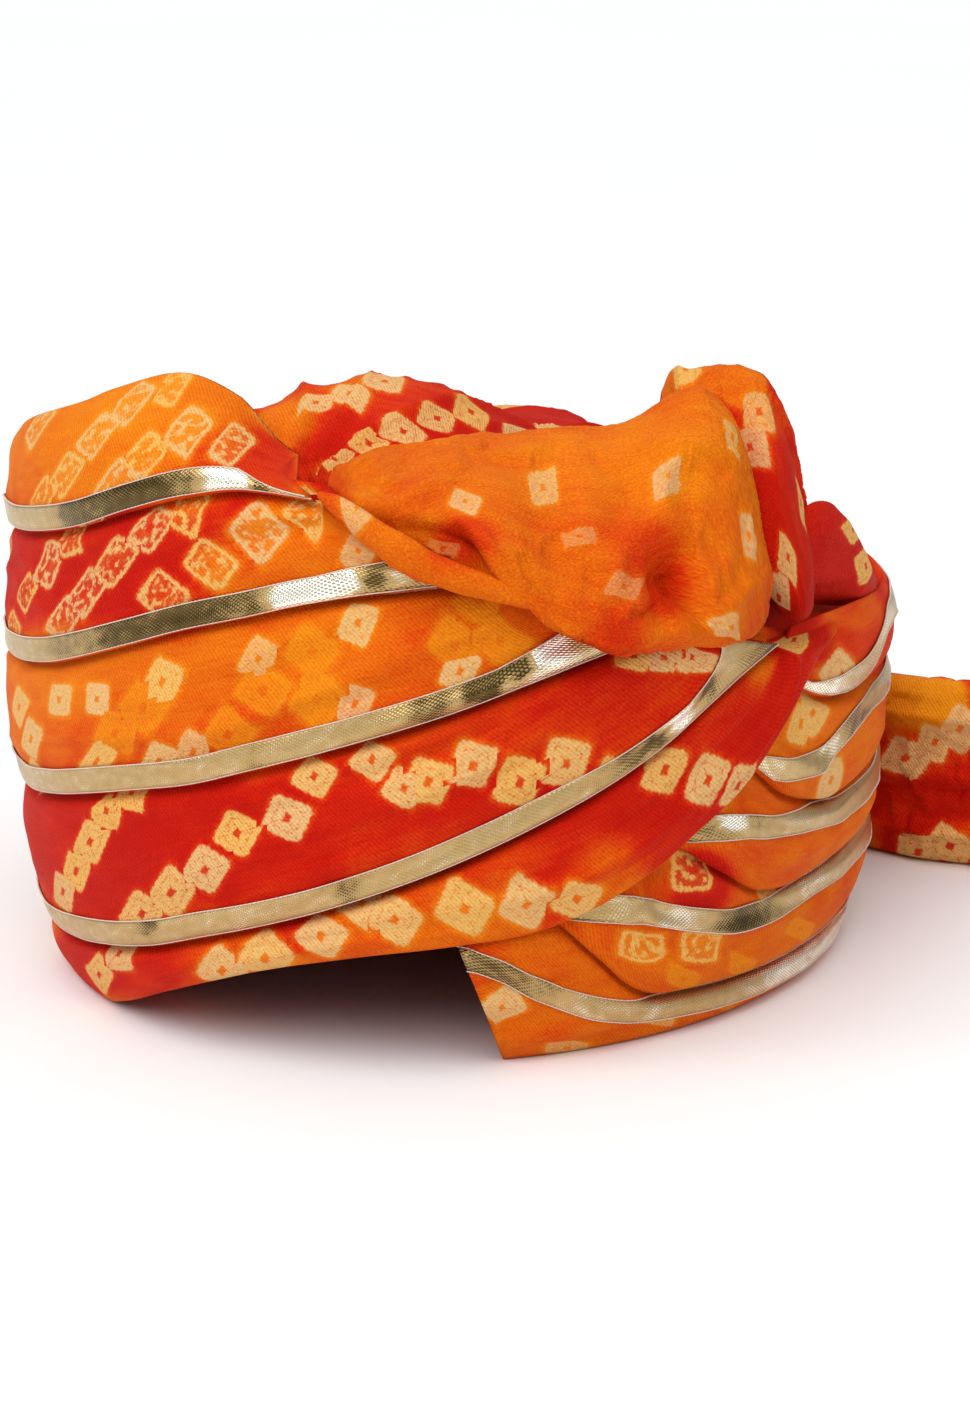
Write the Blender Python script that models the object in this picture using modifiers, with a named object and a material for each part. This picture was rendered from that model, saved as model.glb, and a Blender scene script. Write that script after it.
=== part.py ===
"""A wound tie-dye turban with gold ribbon trim, standing on its rim.

Metres, +Z up. The wearer faces -Y and the rim rests on Z = 0. Angles run round the head in degrees,
from 0 at the forehead through +90 at the wearer's left and +180 at the nape.
"""

import math

import bmesh
import bpy
import numpy as np
from mathutils import Vector

MM = 0.001

# Driving sizes of the wound body, in metres
HALF_WIDTH = 0.125
HALF_LENGTH = 0.145
WALL_THICK = 0.025
WALL_SWELL = 0.008
PIECE_GAP = 0.0004
UNDER_GAP = 0.0012
CLOTH_THIN = 0.0014
FRONT_CLOTH = 0.0026
SIDE_CLOTH = 0.0024
FRONT_STEP = 0.0012
SIDE_STEP = 0.0018
PUFF = 0.0015
CROSSING_LIFT = 0.0032
CROWN_CLOTH = 0.0025
RIBBON_WIDTH = 0.0082
RIBBON_THICK = 0.0006
KNOT_GAP = 0.0008
RIBBON_RISE = 0.001
ARCH_CLEARANCE = 0.004

# How far the knot and the tail are turned from the forehead towards the wearer's left
TURN = math.radians(22)

# Columns: height in mm, width of the wall as a share of its widest
WALL_PROFILE = (
    (0, 0.864), (3, 0.874), (12, 0.899), (26, 0.928), (54, 0.956), (72, 0.970),
    (96, 0.982), (112, 0.980), (135, 0.966), (156, 0.958), (175, 0.940), (195, 0.900),
)

# Columns: angle, then the heights in mm of the lower edge of the lapped front turns 5 to 1, and of the
# top edge of turn 1
FRONT_EDGES = (
    (-195.0, 0.0, 12.0, 36.0, 61.0, 85.0, 110.0),
    (-150.0, 0.0, 12.0, 37.0, 63.0, 88.0, 114.0),
    (-120.0, 0.0, 13.0, 42.0, 70.0, 97.0, 124.0),
    (-90.0, 0.0, 14.5, 50.0, 83.0, 115.0, 142.0),
    (-60.0, 0.0, 15.0, 56.0, 94.0, 130.0, 159.0),
    (-45.0, 0.0, 17.0, 59.0, 97.5, 134.5, 168.0),
    (-34.0, 0.5, 20.0, 64.0, 102.5, 139.5, 175.0),
    (-28.0, 4.0, 22.5, 67.5, 106.5, 143.0, 180.0),
    (-17.0, 13.5, 28.0, 74.0, 115.0, 151.5, 186.0),
    (-8.0, 21.0, 34.5, 79.0, 122.0, 157.5, 181.0),
    (0.0, 27.0, 40.0, 85.0, 127.0, 160.5, 169.0),
    (8.0, 31.5, 46.0, 91.0, 132.0, 159.5, 163.5),
    (17.0, 35.6, 54.0, 98.0, 136.0, 155.0, 160.0),
    (26.0, 38.0, 62.5, 104.7, 138.0, 150.0, 158.0),
    (34.0, 40.0, 70.6, 111.0, 137.0, 147.0, 154.0),
    (43.0, 46.0, 80.5, 117.0, 135.0, 144.0, 150.0),
    (50.0, 54.0, 89.5, 120.5, 134.0, 142.0, 148.0),
    (56.0, 63.0, 98.5, 122.0, 134.0, 142.0, 148.0),
    (62.0, 72.0, 106.0, 123.0, 134.0, 142.0, 148.0),
    (69.0, 89.0, 112.0, 124.0, 134.0, 142.0, 148.0),
    (76.0, 105.0, 116.0, 125.0, 134.0, 142.0, 148.0),
    (84.0, 111.0, 119.0, 126.0, 134.0, 142.0, 148.0),
)
# Where each of those edges starts at the nape and ends under the knot, in the same order
FRONT_STARTS = (-195.0, -195.0, -187.5, -180.0, -180.0, -172.5)
FRONT_ENDS = (82.5, 67.5, 52.5, 30.0, 15.0, 7.5)
# Columns: angle, height in mm of what is left of the front turns under the knot
UNDER_KNOT = ((0, 169), (8, 170), (15, 167), (22, 152), (30, 141), (43, 128), (60, 120), (76, 113))
# Columns: angle, how far in mm the top edge of front turn 1 leans in over the crown
TOP_LEAN = ((-195, 0), (-150, 0), (-90, 1), (-50, 3), (-28, 8), (-17, 14), (-8, 19), (0, 21), (8, 20),
            (84, 20))

# Columns: angle, height in mm. The lower edges of the side turns, from the rim up, and the top edge
SIDE_FOLDS = {
    5: ((24, 0), (204, 0)),
    4: ((24, 48), (32, 50.5), (38, 41.7), (43.7, 29.6), (50, 17), (54, 13.8), (62, 12.9), (70, 12),
        (95, 12.3), (120, 14), (150, 15), (204, 15)),
    3: ((24, 76), (52, 62), (55, 57), (61.8, 46.8), (69, 37.5), (74, 35.8), (82, 36.8), (96, 37),
        (120, 36.5), (204, 36)),
    2: ((24, 92), (60, 84), (65.6, 75.5), (71, 65.5), (77, 60), (83, 57), (92, 57.5), (120, 59),
        (204, 60)),
    1: ((24, 100), (68, 100), (73, 95), (77, 90.5), (80.5, 88.5), (86.7, 86.8), (93, 87), (97, 87.5),
        (120, 85), (150, 84), (204, 84)),
    0: ((24, 113), (76, 113), (85, 112), (95, 110), (110, 106), (120, 105), (150, 106), (180, 109),
        (204, 110)),
}
# Where each of those edges starts under the front turns and ends at the nape, from the rim up
SIDE_STARTS = {5: 32.0, 4: 24.0, 3: 52.0, 2: 64.0, 1: 68.0, 0: 72.0}
SIDE_ENDS = {5: 172.0, 4: 172.0, 3: 180.0, 2: 188.0, 1: 188.0, 0: 196.0}

# Columns: angle, height in mm of the middle of each gold ribbon on the side turns
SIDE_RIBBONS = {
    5: ((28.4, 34.0), (36.1, 22.7), (44.4, 14.1), (52, 10.1), (60, 8.9), (70, 7.7), (93, 7), (132, 5)),
    4: ((43.9, 46.6), (50, 41.5), (57.7, 35.5), (64.5, 31.8), (72, 31), (81, 32), (97, 32.5),
        (120, 31.5), (204, 31)),
    3: ((58, 62.9), (64, 60.2), (69.6, 57), (78, 54.5), (86, 52), (99, 52), (120, 54), (204, 55)),
    2: ((66, 76.2), (71, 72.9), (76.5, 72.1), (80.7, 75.5), (86, 79), (95, 81), (120, 80), (204, 78)),
    1: ((80, 91.5), (86, 92.5), (90, 95), (94, 99), (98, 102), (104, 102), (120, 100), (204, 101)),
}
# How many degrees each side ribbon runs on under the front turns, and where it ends at the nape. The
# lowest one starts that far short of them
SIDE_RIBBON_TUCKS = {5: -6, 4: 5, 3: 5, 2: 5, 1: 5}
SIDE_RIBBON_ENDS = {5: 132.0, 4: 176.0, 3: 180.0, 2: 184.0, 1: 188.0}

# Columns, in the axes turned by TURN and in mm: across, low edge (back, up), high edge (back, up),
# swell to the front, swell to the rear
BLOOM = (
    (-38, -130, 157, -124, 159, 2, 2),
    (-33, -134, 156, -108, 160, 6, 4),
    (-26, -138, 155, -98, 159, 10, 7),
    (-16, -142, 153, -90, 160, 13, 9),
    (-6, -144, 150, -85, 160, 15, 11),
    (8, -147, 146, -80, 159, 17, 13),
    (20, -149, 139, -79, 160, 18, 14),
    (30, -148, 130, -77, 161, 19, 14),
    (42, -146, 124, -76, 161, 20, 15),
    (51, -141, 122, -74, 165, 20, 15),
    (60, -134, 120, -72, 170, 20, 15),
    (67, -128, 118, -70, 173, 20, 14),
    (73, -122, 116, -72, 170, 18, 13),
    (80, -116, 117, -80, 157, 13, 10),
    (86, -108, 118, -94, 134, 6, 5),
)
# The loop that stands behind and beside the first one, with the same columns
CREST = (
    (50, -50, 156, -44, 160, 3, 3),
    (56, -60, 150, -42, 168, 8, 9),
    (63, -70, 142, -44, 175, 12, 15),
    (72, -78, 133, -46, 180, 16, 21),
    (80, -86, 126, -50, 181, 18, 25),
    (87, -92, 121, -54, 178, 18, 27),
    (93, -96, 118, -58, 169, 16, 21),
    (98, -98, 116, -64, 155, 12, 15),
    (102, -96, 116, -73, 139, 7, 8),
    (104, -92, 118, -82, 126, 3, 4),
)
# Columns: across, back, up, half width, half thickness, roll in degrees
LOWER_FOLD = (
    (-36, -135, 160, 2, 2, 60),
    (-32, -141, 157, 5, 4, 60),
    (-26, -146, 153, 7, 5, 60),
    (-17, -149, 148, 8, 6, 62),
    (-8, -151, 144, 8, 6, 64),
    (1, -152, 140, 8, 6, 66),
    (11, -152, 137, 7, 6, 66),
    (20, -151, 134, 5, 5, 66),
    (27, -149, 131, 2, 2, 66),
)
TUCK = (
    (98, -70, 119, 4, 4, 74),
    (102, -60, 122, 11, 8, 68),
    (108, -46, 121, 14, 10, 62),
    (113, -33, 116, 12, 9, 58),
    (117, -20, 113, 9, 8, 56),
    (120, -8, 110, 6, 6, 56),
    (121, 2, 108, 3, 3, 56),
)
# The puff of crown cloth that stands up behind the knot: its middle and reach (across, back), in mm
PUFF_MIDDLE = (-16, -58)
PUFF_REACH = (46, 42)
PUFF_HEIGHT = 0.026
CROWN_TOP = 0.152
GATHER_HEIGHT = 0.0022
GATHERS = 9
# How far the crown's border lies inside the wall's outer face, and below the top of the turns, with
# more below them at the front
BORDER_INSET = 0.0012
BORDER_DROP = 0.011
FRONT_DROP = 0.012
# How much deeper than it is thick the crown's cloth stands where it is steepest
STEEPEST = 1.7
# Columns: across, back, height, half thickness of the tail where it stands on its edge
TAIL = (
    (79, 123.5, 42, 3),
    (94.7, 111.3, 50, 5),
    (108.4, 98.6, 55, 7),
    (123, 86, 58, 8),
    (137, 72, 59, 9),
    (153, 61, 59, 10),
    (170, 56, 59, 10),
    (190, 54, 58, 10),
    (205, 54, 57, 8),
)

# Degrees between the sections round the head
RING_STEP = 7.5
# How far out the crown's rings of points are, as shares of the way to its border
CROWN_REACHES = (1, 0.88, 0.72, 0.54, 0.34, 0.16)
LOBE_SECTIONS = 15
LOBE_SIDES = 12
SWEEP_SECTIONS = 12
SWEEP_SIDES = 10
TAIL_SECTIONS = 18
TAIL_PLEATS = 3

# Colour (red, green, blue), roughness, metallic
FINISHES = {
    "orange_cloth": ((0.90, 0.30, 0.02), 0.60, 0.0),
    "red_cloth": ((0.72, 0.06, 0.02), 0.60, 0.0),
    "gold_ribbon": ((0.78, 0.62, 0.30), 0.28, 1.0),
}


def clear_scene():
    for item in list(bpy.data.objects):
        bpy.data.objects.remove(item, do_unlink=True)


def collection(name):
    made = bpy.data.collections.new(name)
    bpy.context.scene.collection.children.link(made)
    return made


def finish(name):
    """The material of that name, made on first use."""
    found = bpy.data.materials.get(name)
    if found:
        return found
    colour, roughness, metallic = FINISHES[name]
    made = bpy.data.materials.new(name)
    made.use_nodes = True
    surface = made.node_tree.nodes["Principled BSDF"]
    surface.inputs["Base Color"].default_value = (*colour, 1)
    surface.inputs["Roughness"].default_value = roughness
    surface.inputs["Metallic"].default_value = metallic
    return made


def along(table, at, column=1):
    """A table's column at a value of its first column, on a smooth curve through the rows."""
    xs = np.array([row[0] for row in table], float)
    ys = np.array([row[column] for row in table], float)
    slopes = np.diff(ys) / np.diff(xs)
    tangents = np.zeros(len(xs))
    for i in range(1, len(xs) - 1):
        before, after = slopes[i - 1], slopes[i]
        if before * after > 0:
            tangents[i] = 2 * before * after / (before + after)
    tangents[0], tangents[-1] = slopes[0], slopes[-1]
    at = min(max(at, xs[0]), xs[-1])
    i = min(int(np.searchsorted(xs, at, side="right")) - 1, len(xs) - 2)
    span = xs[i + 1] - xs[i]
    t = (at - xs[i]) / span
    return float(
        ys[i] * (1 + 2 * t) * (1 - t) ** 2 + tangents[i] * span * t * (1 - t) ** 2
        + ys[i + 1] * t * t * (3 - 2 * t) - tangents[i + 1] * span * t * t * (1 - t)
    )


def ease(t):
    """0 below 0, 1 above 1 and a smooth ramp between."""
    t = min(max(t, 0.0), 1.0)
    return t * t * (3 - 2 * t)


def wall_point(angle, height, offset=0.0):
    """A point on the body's wall, moved out level by an offset."""
    share = along(WALL_PROFILE, height / MM)
    turn = math.radians(angle)
    return Vector((
        (HALF_WIDTH * share + offset) * math.sin(turn),
        -(HALF_LENGTH * share + offset) * math.cos(turn),
        height,
    ))


def turned(across, back, up):
    """A point given in mm in the axes turned by TURN, in metres."""
    cos, sin = math.cos(TURN), math.sin(TURN)
    return Vector((across * cos - back * sin, across * sin + back * cos, up)) * MM


def loft(name, loops, group, material, ring=False):
    """A closed solid through loops of points, in order, with flat ends or joined into a ring."""
    body = bmesh.new()
    rows = [[body.verts.new(point) for point in loop] for loop in loops]
    count = len(rows[0])
    pairs = list(zip(rows, rows[1:] + rows[:1] if ring else rows[1:]))
    for here, there in pairs:
        for i in range(count):
            j = (i + 1) % count
            body.faces.new((here[i], here[j], there[j], there[i]))
    if not ring:
        body.faces.new(rows[0][::-1])
        body.faces.new(rows[-1])
    bmesh.ops.remove_doubles(body, verts=body.verts, dist=1e-6)
    bmesh.ops.recalc_face_normals(body, faces=body.faces)
    mesh = bpy.data.meshes.new(name)
    body.to_mesh(mesh)
    body.free()
    mesh.shade_smooth()
    mesh.set_sharp_from_angle(angle=math.radians(50))
    mesh.materials.append(finish(material))
    made = bpy.data.objects.new(name, mesh)
    group.objects.link(made)
    return made


def front_edge(column, angle):
    return along(FRONT_EDGES, angle, column) * MM


def crossing_angle(height):
    """The angle at which the lower edge of the front turns passes a height, past the arch."""
    rising = [(row[1], row[0]) for row in FRONT_EDGES if 15 < row[0]]
    return along(rising, height / MM)


def nape_angle(height):
    """The angle of the slanted edge where the front turns end at the nape."""
    slant = [(high, start + 360) for high, start in zip(FRONT_EDGES[0][1:], FRONT_STARTS)]
    return along(slant, height / MM)


def lean_at(angle, share):
    """How far front turn 1 leans in over the crown at a share of its height."""
    return along(TOP_LEAN, angle) * MM * min(max(share, 0), 1) ** 3


def front_lift(angle):
    """How far the front turns rise where they pass over the side turns, at both ends."""
    return CROSSING_LIFT * max(ease((angle - 2) / 20), ease((-145 - angle) / 15))


def side_fullness(angle, height):
    """The side turns are pressed thin where they are tucked under the front turns, at both ends."""
    at_front = ease((angle - crossing_angle(height) - 2) / 9)
    at_nape = ease((nape_angle(height) - angle - 2) / 9)
    return min(at_front, at_nape)


class Turn:
    """A lapped turn of folded cloth between two edges, sampled at shared angles.

    low and high give the height of an edge at an angle. A place along the turn is a station, and a
    place across it is a share from 0 at the low edge to 1 at the high edge.
    """

    def __init__(self, angles, low, high, low_span, high_span, thickness, leans=False):
        self.low, self.high = low, high
        self.thickness, self.leans = thickness, leans
        self.stations = []
        for angle in angles:
            at_low = min(max(angle, low_span[0]), low_span[1])
            at_high = min(max(angle, high_span[0]), high_span[1])
            if not self.stations or self.stations[-1] != (at_low, at_high):
                self.stations.append((at_low, at_high))

    def heights(self, station):
        at_low, at_high = station
        low, high = self.low(at_low), self.high(at_high)
        return low + (PIECE_GAP / 2 if low > 0 else 0), high - PIECE_GAP / 2

    def point(self, station, share, outward, over=0.0):
        """outward is 0 on the inner face and 1 on the outer one, and over is a distance past it."""
        at_low, at_high = station
        angle = at_low + (at_high - at_low) * share
        low, high = self.heights(station)
        height = low + (high - low) * share
        inner, outer = self.thickness(angle, height, share)
        offset = inner + (outer - inner) * outward + over
        if self.leans:
            offset -= lean_at(angle, share)
        return wall_point(angle, height, offset)

    def solid(self, name, shares_at, group, material):
        """shares_at gives the shares across the turn that get a row of points, at a station."""
        loops = []
        for station in self.stations:
            shares = shares_at(station)
            outer = [self.point(station, share, 1) for share in shares]
            inner = [self.point(station, share, 0) for share in (1, 0.5, 0)]
            loops.append(outer + inner)
        return loft(name, loops, group, material)

    def ribbon(self, name, shares_at, shows, group):
        """A flat ribbon on the turn between the second and third of its rows.

        shows says whether the ribbon is there, from the angle and height of its middle.
        """
        loops = []
        for station in self.stations:
            low_share, high_share = shares_at(station)
            at_low, at_high = station
            low, high = self.heights(station)
            share = (low_share + high_share) / 2
            if not shows(at_low + (at_high - at_low) * share, low + (high - low) * share):
                continue
            near, far = PIECE_GAP, PIECE_GAP + RIBBON_THICK
            loops.append([
                self.point(station, high_share, 1, near), self.point(station, high_share, 1, far),
                self.point(station, low_share, 1, far), self.point(station, low_share, 1, near),
            ])
        return loft(name, loops, group, "gold_ribbon")


def front_turns(group):
    """Five turns that cross the forehead from the wearer's right and run up under the knot."""
    angles = np.arange(FRONT_STARTS[0], 90, RING_STEP)

    def thickness(angle, height, share):
        inner = UNDER_GAP + front_lift(angle)
        return inner, inner + FRONT_CLOTH + FRONT_STEP * (1 - share) + 4 * PUFF * share * (1 - share)

    for number in range(5, 0, -1):
        column = 6 - number
        turn = Turn(
            angles,
            lambda angle, c=column: front_edge(c, angle),
            lambda angle, c=column + 1: front_edge(c, angle),
            (FRONT_STARTS[column - 1], FRONT_ENDS[column - 1]),
            (FRONT_STARTS[column], FRONT_ENDS[column]),
            thickness,
            leans=number == 1,
        )

        def ribbon_shares(station, turn=turn):
            low, high = turn.heights(station)
            start = RIBBON_RISE / (high - low)
            return min(start, 0.2), min(start + RIBBON_WIDTH / (high - low), 0.8)

        def rows(station, trimmed=number < 5, shares=ribbon_shares):
            if not trimmed:
                return 0, 0.25, 0.5, 0.75, 1
            low_share, high_share = shares(station)
            return 0, low_share, high_share, (1 + high_share) / 2, 1

        cloth = "red_cloth" if number in (2, 4) else "orange_cloth"
        turn.solid(f"front_turn_{number}", rows, group, cloth)
        if number < 5:
            turn.ribbon(f"front_ribbon_{number}", ribbon_shares, lambda angle, height: True, group)


def side_turns(group):
    """Five turns round the wearer's left, tucked under the front turns at the brow and the nape."""
    angles = np.concatenate([np.arange(24, 100, 4), np.arange(100, 205, 8)])

    def thickness(angle, height, share):
        full = SIDE_CLOTH + SIDE_STEP * (1 - share) + 4 * PUFF * share * (1 - share)
        return UNDER_GAP, UNDER_GAP + CLOTH_THIN + (full - CLOTH_THIN) * side_fullness(angle, height)

    for number in range(5, 0, -1):
        turn = Turn(
            angles,
            lambda angle, n=number: along(SIDE_FOLDS[n], angle) * MM,
            lambda angle, n=number - 1: along(SIDE_FOLDS[n], angle) * MM,
            (SIDE_STARTS[number], SIDE_ENDS[number]),
            (SIDE_STARTS[number - 1], SIDE_ENDS[number - 1]),
            thickness,
        )

        def ribbon_shares(station, turn=turn, n=number):
            low, high = turn.heights(station)
            middle = along(SIDE_RIBBONS[n], sum(station) / 2) * MM
            below = (middle - RIBBON_WIDTH / 2 - low) / (high - low)
            above = (middle + RIBBON_WIDTH / 2 - low) / (high - low)
            below = min(max(below, 0.04), 0.80)
            return below, min(max(above, below + 0.12), 0.96)

        def rows(station, shares=ribbon_shares):
            below, above = shares(station)
            return 0, below, above, (1 + above) / 2, 1

        cloth = "red_cloth" if number == 1 else "orange_cloth"
        turn.solid(f"side_turn_{number}", rows, group, cloth)

        def shows(angle, height, tuck=SIDE_RIBBON_TUCKS[number], end=SIDE_RIBBON_ENDS[number]):
            return crossing_angle(height) - tuck <= angle <= end

        turn.ribbon(f"side_ribbon_{number}", ribbon_shares, shows, group)


def top_height(angle):
    """The height of the top edge of the turns all the way round, from -180 to 180 degrees."""
    if angle <= 0:
        return front_edge(6, angle)
    if angle >= 76:
        return along(SIDE_FOLDS[0], angle) * MM
    return along(UNDER_KNOT, angle) * MM


def seat_height(angle):
    """The height of the crown's border, just inside the top edge of the turns."""
    at_front = ease((angle + 60) / 40) * ease((40 - angle) / 30)
    return top_height(angle) - BORDER_DROP - FRONT_DROP * at_front


def rim_height(angle):
    """The bottom of the padded wall, which clears the arch over the forehead."""
    under_front = front_edge(1, min(angle, 24)) + ARCH_CLEARANCE
    return under_front * ease((angle + 38) / 4) * ease((34 - angle) / 4)


def wall_ring(group):
    """The padded wall of earlier turns that the outer ones are wound on, open at the bottom."""
    below_crown = Vector((0, 0, CROWN_CLOTH * STEEPEST + PIECE_GAP))
    loops = []
    for angle in np.arange(-180, 180, RING_STEP):
        low = rim_height(angle)
        high = seat_height(angle) - below_crown.z
        outer = [wall_point(angle, low + (high - low) * row) for row in np.linspace(0, 1, 7)]
        top = [crown_point(angle, reach) - below_crown for reach in (0.88, 0.74)]
        inner = [
            wall_point(angle, height, -WALL_THICK - WALL_SWELL * ease(height / 0.06))
            for height in (low + (top[-1].z - low) * row for row in (0.66, 0.33, 0))
        ]
        loops.append(outer + top + inner)
    return loft("padded_wall", loops, group, "orange_cloth", ring=True)


def crown_point(angle, reach):
    """The crown at a share of the way out from its middle: a dome with gathers and the puff on it."""
    border = seat_height(angle)
    edge = wall_point(angle, border, -BORDER_INSET)
    place = Vector((edge.x * reach, edge.y * reach, 0))
    across = (place.x * math.cos(TURN) + place.y * math.sin(TURN)) / MM
    back = (place.y * math.cos(TURN) - place.x * math.sin(TURN)) / MM
    from_puff = math.hypot((across - PUFF_MIDDLE[0]) / PUFF_REACH[0], (back - PUFF_MIDDLE[1]) / PUFF_REACH[1])
    puff = PUFF_HEIGHT * math.exp(-from_puff ** 2) * (1 - reach ** 8)
    gathers = GATHER_HEIGHT * math.cos(math.radians(angle) * GATHERS) * reach * (1 - reach) * 4
    place.z = border + (CROWN_TOP - border) * (1 - reach ** 2.4) + gathers + puff
    return place


def crown(group):
    """The gathered cloth over the top of the head: a domed shell that rests on the padded wall."""
    sheet = bmesh.new()
    angles = np.arange(-180, 180, RING_STEP)
    rings = []
    for reach in CROWN_REACHES:
        rings.append([sheet.verts.new(crown_point(angle, reach)) for angle in angles])
    middle = sheet.verts.new(crown_point(0, 0))
    count = len(angles)
    for outer, inner in zip(rings, rings[1:]):
        for i in range(count):
            j = (i + 1) % count
            sheet.faces.new((outer[i], outer[j], inner[j], inner[i]))
    for i in range(count):
        sheet.faces.new((rings[-1][i], rings[-1][(i + 1) % count], middle))
    mesh = bpy.data.meshes.new("crown")
    sheet.to_mesh(mesh)
    sheet.free()
    mesh.shade_smooth()
    mesh.materials.append(finish("red_cloth"))
    made = bpy.data.objects.new("crown", mesh)
    group.objects.link(made)
    thickness = made.modifiers.new("cloth", "SOLIDIFY")
    thickness.thickness = CROWN_CLOTH
    thickness.offset = -1
    return made


def body_envelope(group):
    """A cutter as large as everything that the knot sits on, with a small gap all round."""
    cloth = UNDER_GAP + CROSSING_LIFT + FRONT_CLOTH + FRONT_STEP / 2 + PUFF
    outward = cloth + PIECE_GAP + RIBBON_THICK + KNOT_GAP
    loops = []
    for angle in np.arange(-180, 180, RING_STEP):
        top = max(top_height(angle), seat_height(angle)) + KNOT_GAP
        fold = front_edge(5, angle)
        leans = angle < 15
        loop = []
        for row in (0, 0.25, 0.5, 0.75, 0.85, 0.93, 1):
            height = top * row
            lean = lean_at(angle, (height - fold) / max(top - fold, MM)) if leans else 0
            loop.append(wall_point(angle, height, outward - lean))
        if leans:
            loop.append(wall_point(angle, top, -lean_at(angle, 1)))
        else:
            loop.append(wall_point(angle, top, -UNDER_GAP))
        for reach in CROWN_REACHES[1:]:
            loop.append(crown_point(angle, reach) + Vector((0, 0, KNOT_GAP)))
        loops.append(loop)
    shape = bmesh.new()
    rows = [[shape.verts.new(point) for point in loop] for loop in loops]
    for here, there in zip(rows, rows[1:] + rows[:1]):
        for i in range(len(here) - 1):
            shape.faces.new((here[i], here[i + 1], there[i + 1], there[i]))
    shape.faces.new([row[0] for row in rows])
    shape.faces.new([row[-1] for row in rows])
    bmesh.ops.recalc_face_normals(shape, faces=shape.faces)
    mesh = bpy.data.meshes.new("body_envelope")
    shape.to_mesh(mesh)
    shape.free()
    made = bpy.data.objects.new("body_envelope", mesh)
    group.objects.link(made)
    return made


def resampled(table, steps):
    """Rows spread evenly along a table's first column count, on smooth curves through its rows."""
    numbered = [(i, *row) for i, row in enumerate(table)]
    return [
        [along(numbered, at, column) for column in range(1, len(table[0]) + 1)]
        for at in np.linspace(0, len(table) - 1, steps)
    ]


def lobe(name, table, group, material, grow=0.0):
    """A puffed loop of cloth whose sections lean back from a low edge to a high one."""
    loops = []
    for across, low_back, low_up, high_back, high_up, front, rear in resampled(table, LOBE_SECTIONS):
        low, high = Vector((low_back, low_up)), Vector((high_back, high_up))
        middle, reach = (low + high) / 2, (high - low) / 2
        reach += reach.normalized() * grow / MM
        outward = Vector((-reach.y, reach.x)).normalized()
        loop = []
        for turn in np.linspace(0, 2 * math.pi, LOBE_SIDES, endpoint=False):
            swell = ((front if math.sin(turn) > 0 else rear) + grow / MM) * math.sin(turn)
            place = middle + reach * math.cos(turn) + outward * swell
            loop.append(turned(across, place.x, place.y))
        loops.append(loop)
    return loft(name, loops, group, material)


def sweep(name, table, group, material, grow=0.0):
    """A soft roll along a path: an oval section across the path, rolled about it."""
    rows = resampled(table, SWEEP_SECTIONS)
    places = [turned(*row[:3]) for row in rows]
    loops = []
    for i, row in enumerate(rows):
        heading = (places[min(i + 1, SWEEP_SECTIONS - 1)] - places[max(i - 1, 0)]).normalized()
        level = heading.cross(Vector((0, 0, 1))).normalized()
        upright = level.cross(heading)
        roll = math.radians(row[5])
        wide = level * math.cos(roll) + upright * math.sin(roll)
        thick = upright * math.cos(roll) - level * math.sin(roll)
        loops.append([
            places[i]
            + wide * (row[3] * MM + grow) * math.cos(turn)
            + thick * (row[4] * MM + grow) * math.sin(turn)
            for turn in np.linspace(0, 2 * math.pi, SWEEP_SIDES, endpoint=False)
        ])
    return loft(name, loops, group, material)


def tail(group):
    """The loose end at the nape: a pleated band that stands on its edge and runs out sideways."""
    rows = resampled(TAIL, TAIL_SECTIONS)
    places = [Vector((row[0], row[1])) for row in rows]
    shares = np.linspace(0, 1, 3 * TAIL_PLEATS + 1)
    loops = []
    for i, (across, back, height, half) in enumerate(rows):
        heading = (places[min(i + 1, len(rows) - 1)] - places[max(i - 1, 0)]).normalized()
        away = Vector((heading.y, -heading.x))
        loop = []
        for side in (1, -1):
            for share in shares if side > 0 else shares[::-1]:
                pleat = 0.72 + 0.28 * abs(math.cos(math.pi * TAIL_PLEATS * share))
                spread = side * half * (pleat if 0 < share < 1 else 0.55)
                loop.append(turned(across + away.x * spread, back + away.y * spread, height * share))
        loops.append(loop)
    return loft("tail", loops, group, "red_cloth")


def hide(cutter):
    cutter.hide_render = True
    cutter.display_type = "WIRE"
    return cutter


def cut(piece, *cutters):
    """Takes the cutters away from a piece, in order."""
    for cutter in cutters:
        step = piece.modifiers.new("seat", "BOOLEAN")
        step.operation = "DIFFERENCE"
        step.object = cutter


def knot(group, cutters):
    """Four loops of cloth that bear on the turns and on one another."""
    envelope = hide(body_envelope(cutters))
    bloom_space = hide(lobe("bloom_space", BLOOM, cutters, "orange_cloth", KNOT_GAP))
    crest_space = hide(lobe("crest_space", CREST, cutters, "red_cloth", KNOT_GAP))
    cut(lobe("knot_bloom", BLOOM, group, "orange_cloth"), envelope)
    cut(sweep("knot_fold", LOWER_FOLD, group, "orange_cloth"), envelope, bloom_space)
    cut(lobe("knot_crest", CREST, group, "red_cloth"), envelope, bloom_space)
    cut(sweep("knot_tuck", TUCK, group, "red_cloth"), envelope, bloom_space, crest_space)


def move_to_origin(group):
    """Brings the middle of the whole object's box over the origin, with every piece on one empty."""
    bpy.context.view_layer.update()
    graph = bpy.context.evaluated_depsgraph_get()
    corners = [
        piece.evaluated_get(graph).matrix_world @ Vector(corner)
        for piece in group.objects for corner in piece.evaluated_get(graph).bound_box
    ]
    low = Vector(map(min, *corners))
    high = Vector(map(max, *corners))
    root = bpy.data.objects.new("turban_root", None)
    group.objects.link(root)
    root.location = (-(low.x + high.x) / 2, -(low.y + high.y) / 2, -low.z)
    return root


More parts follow.
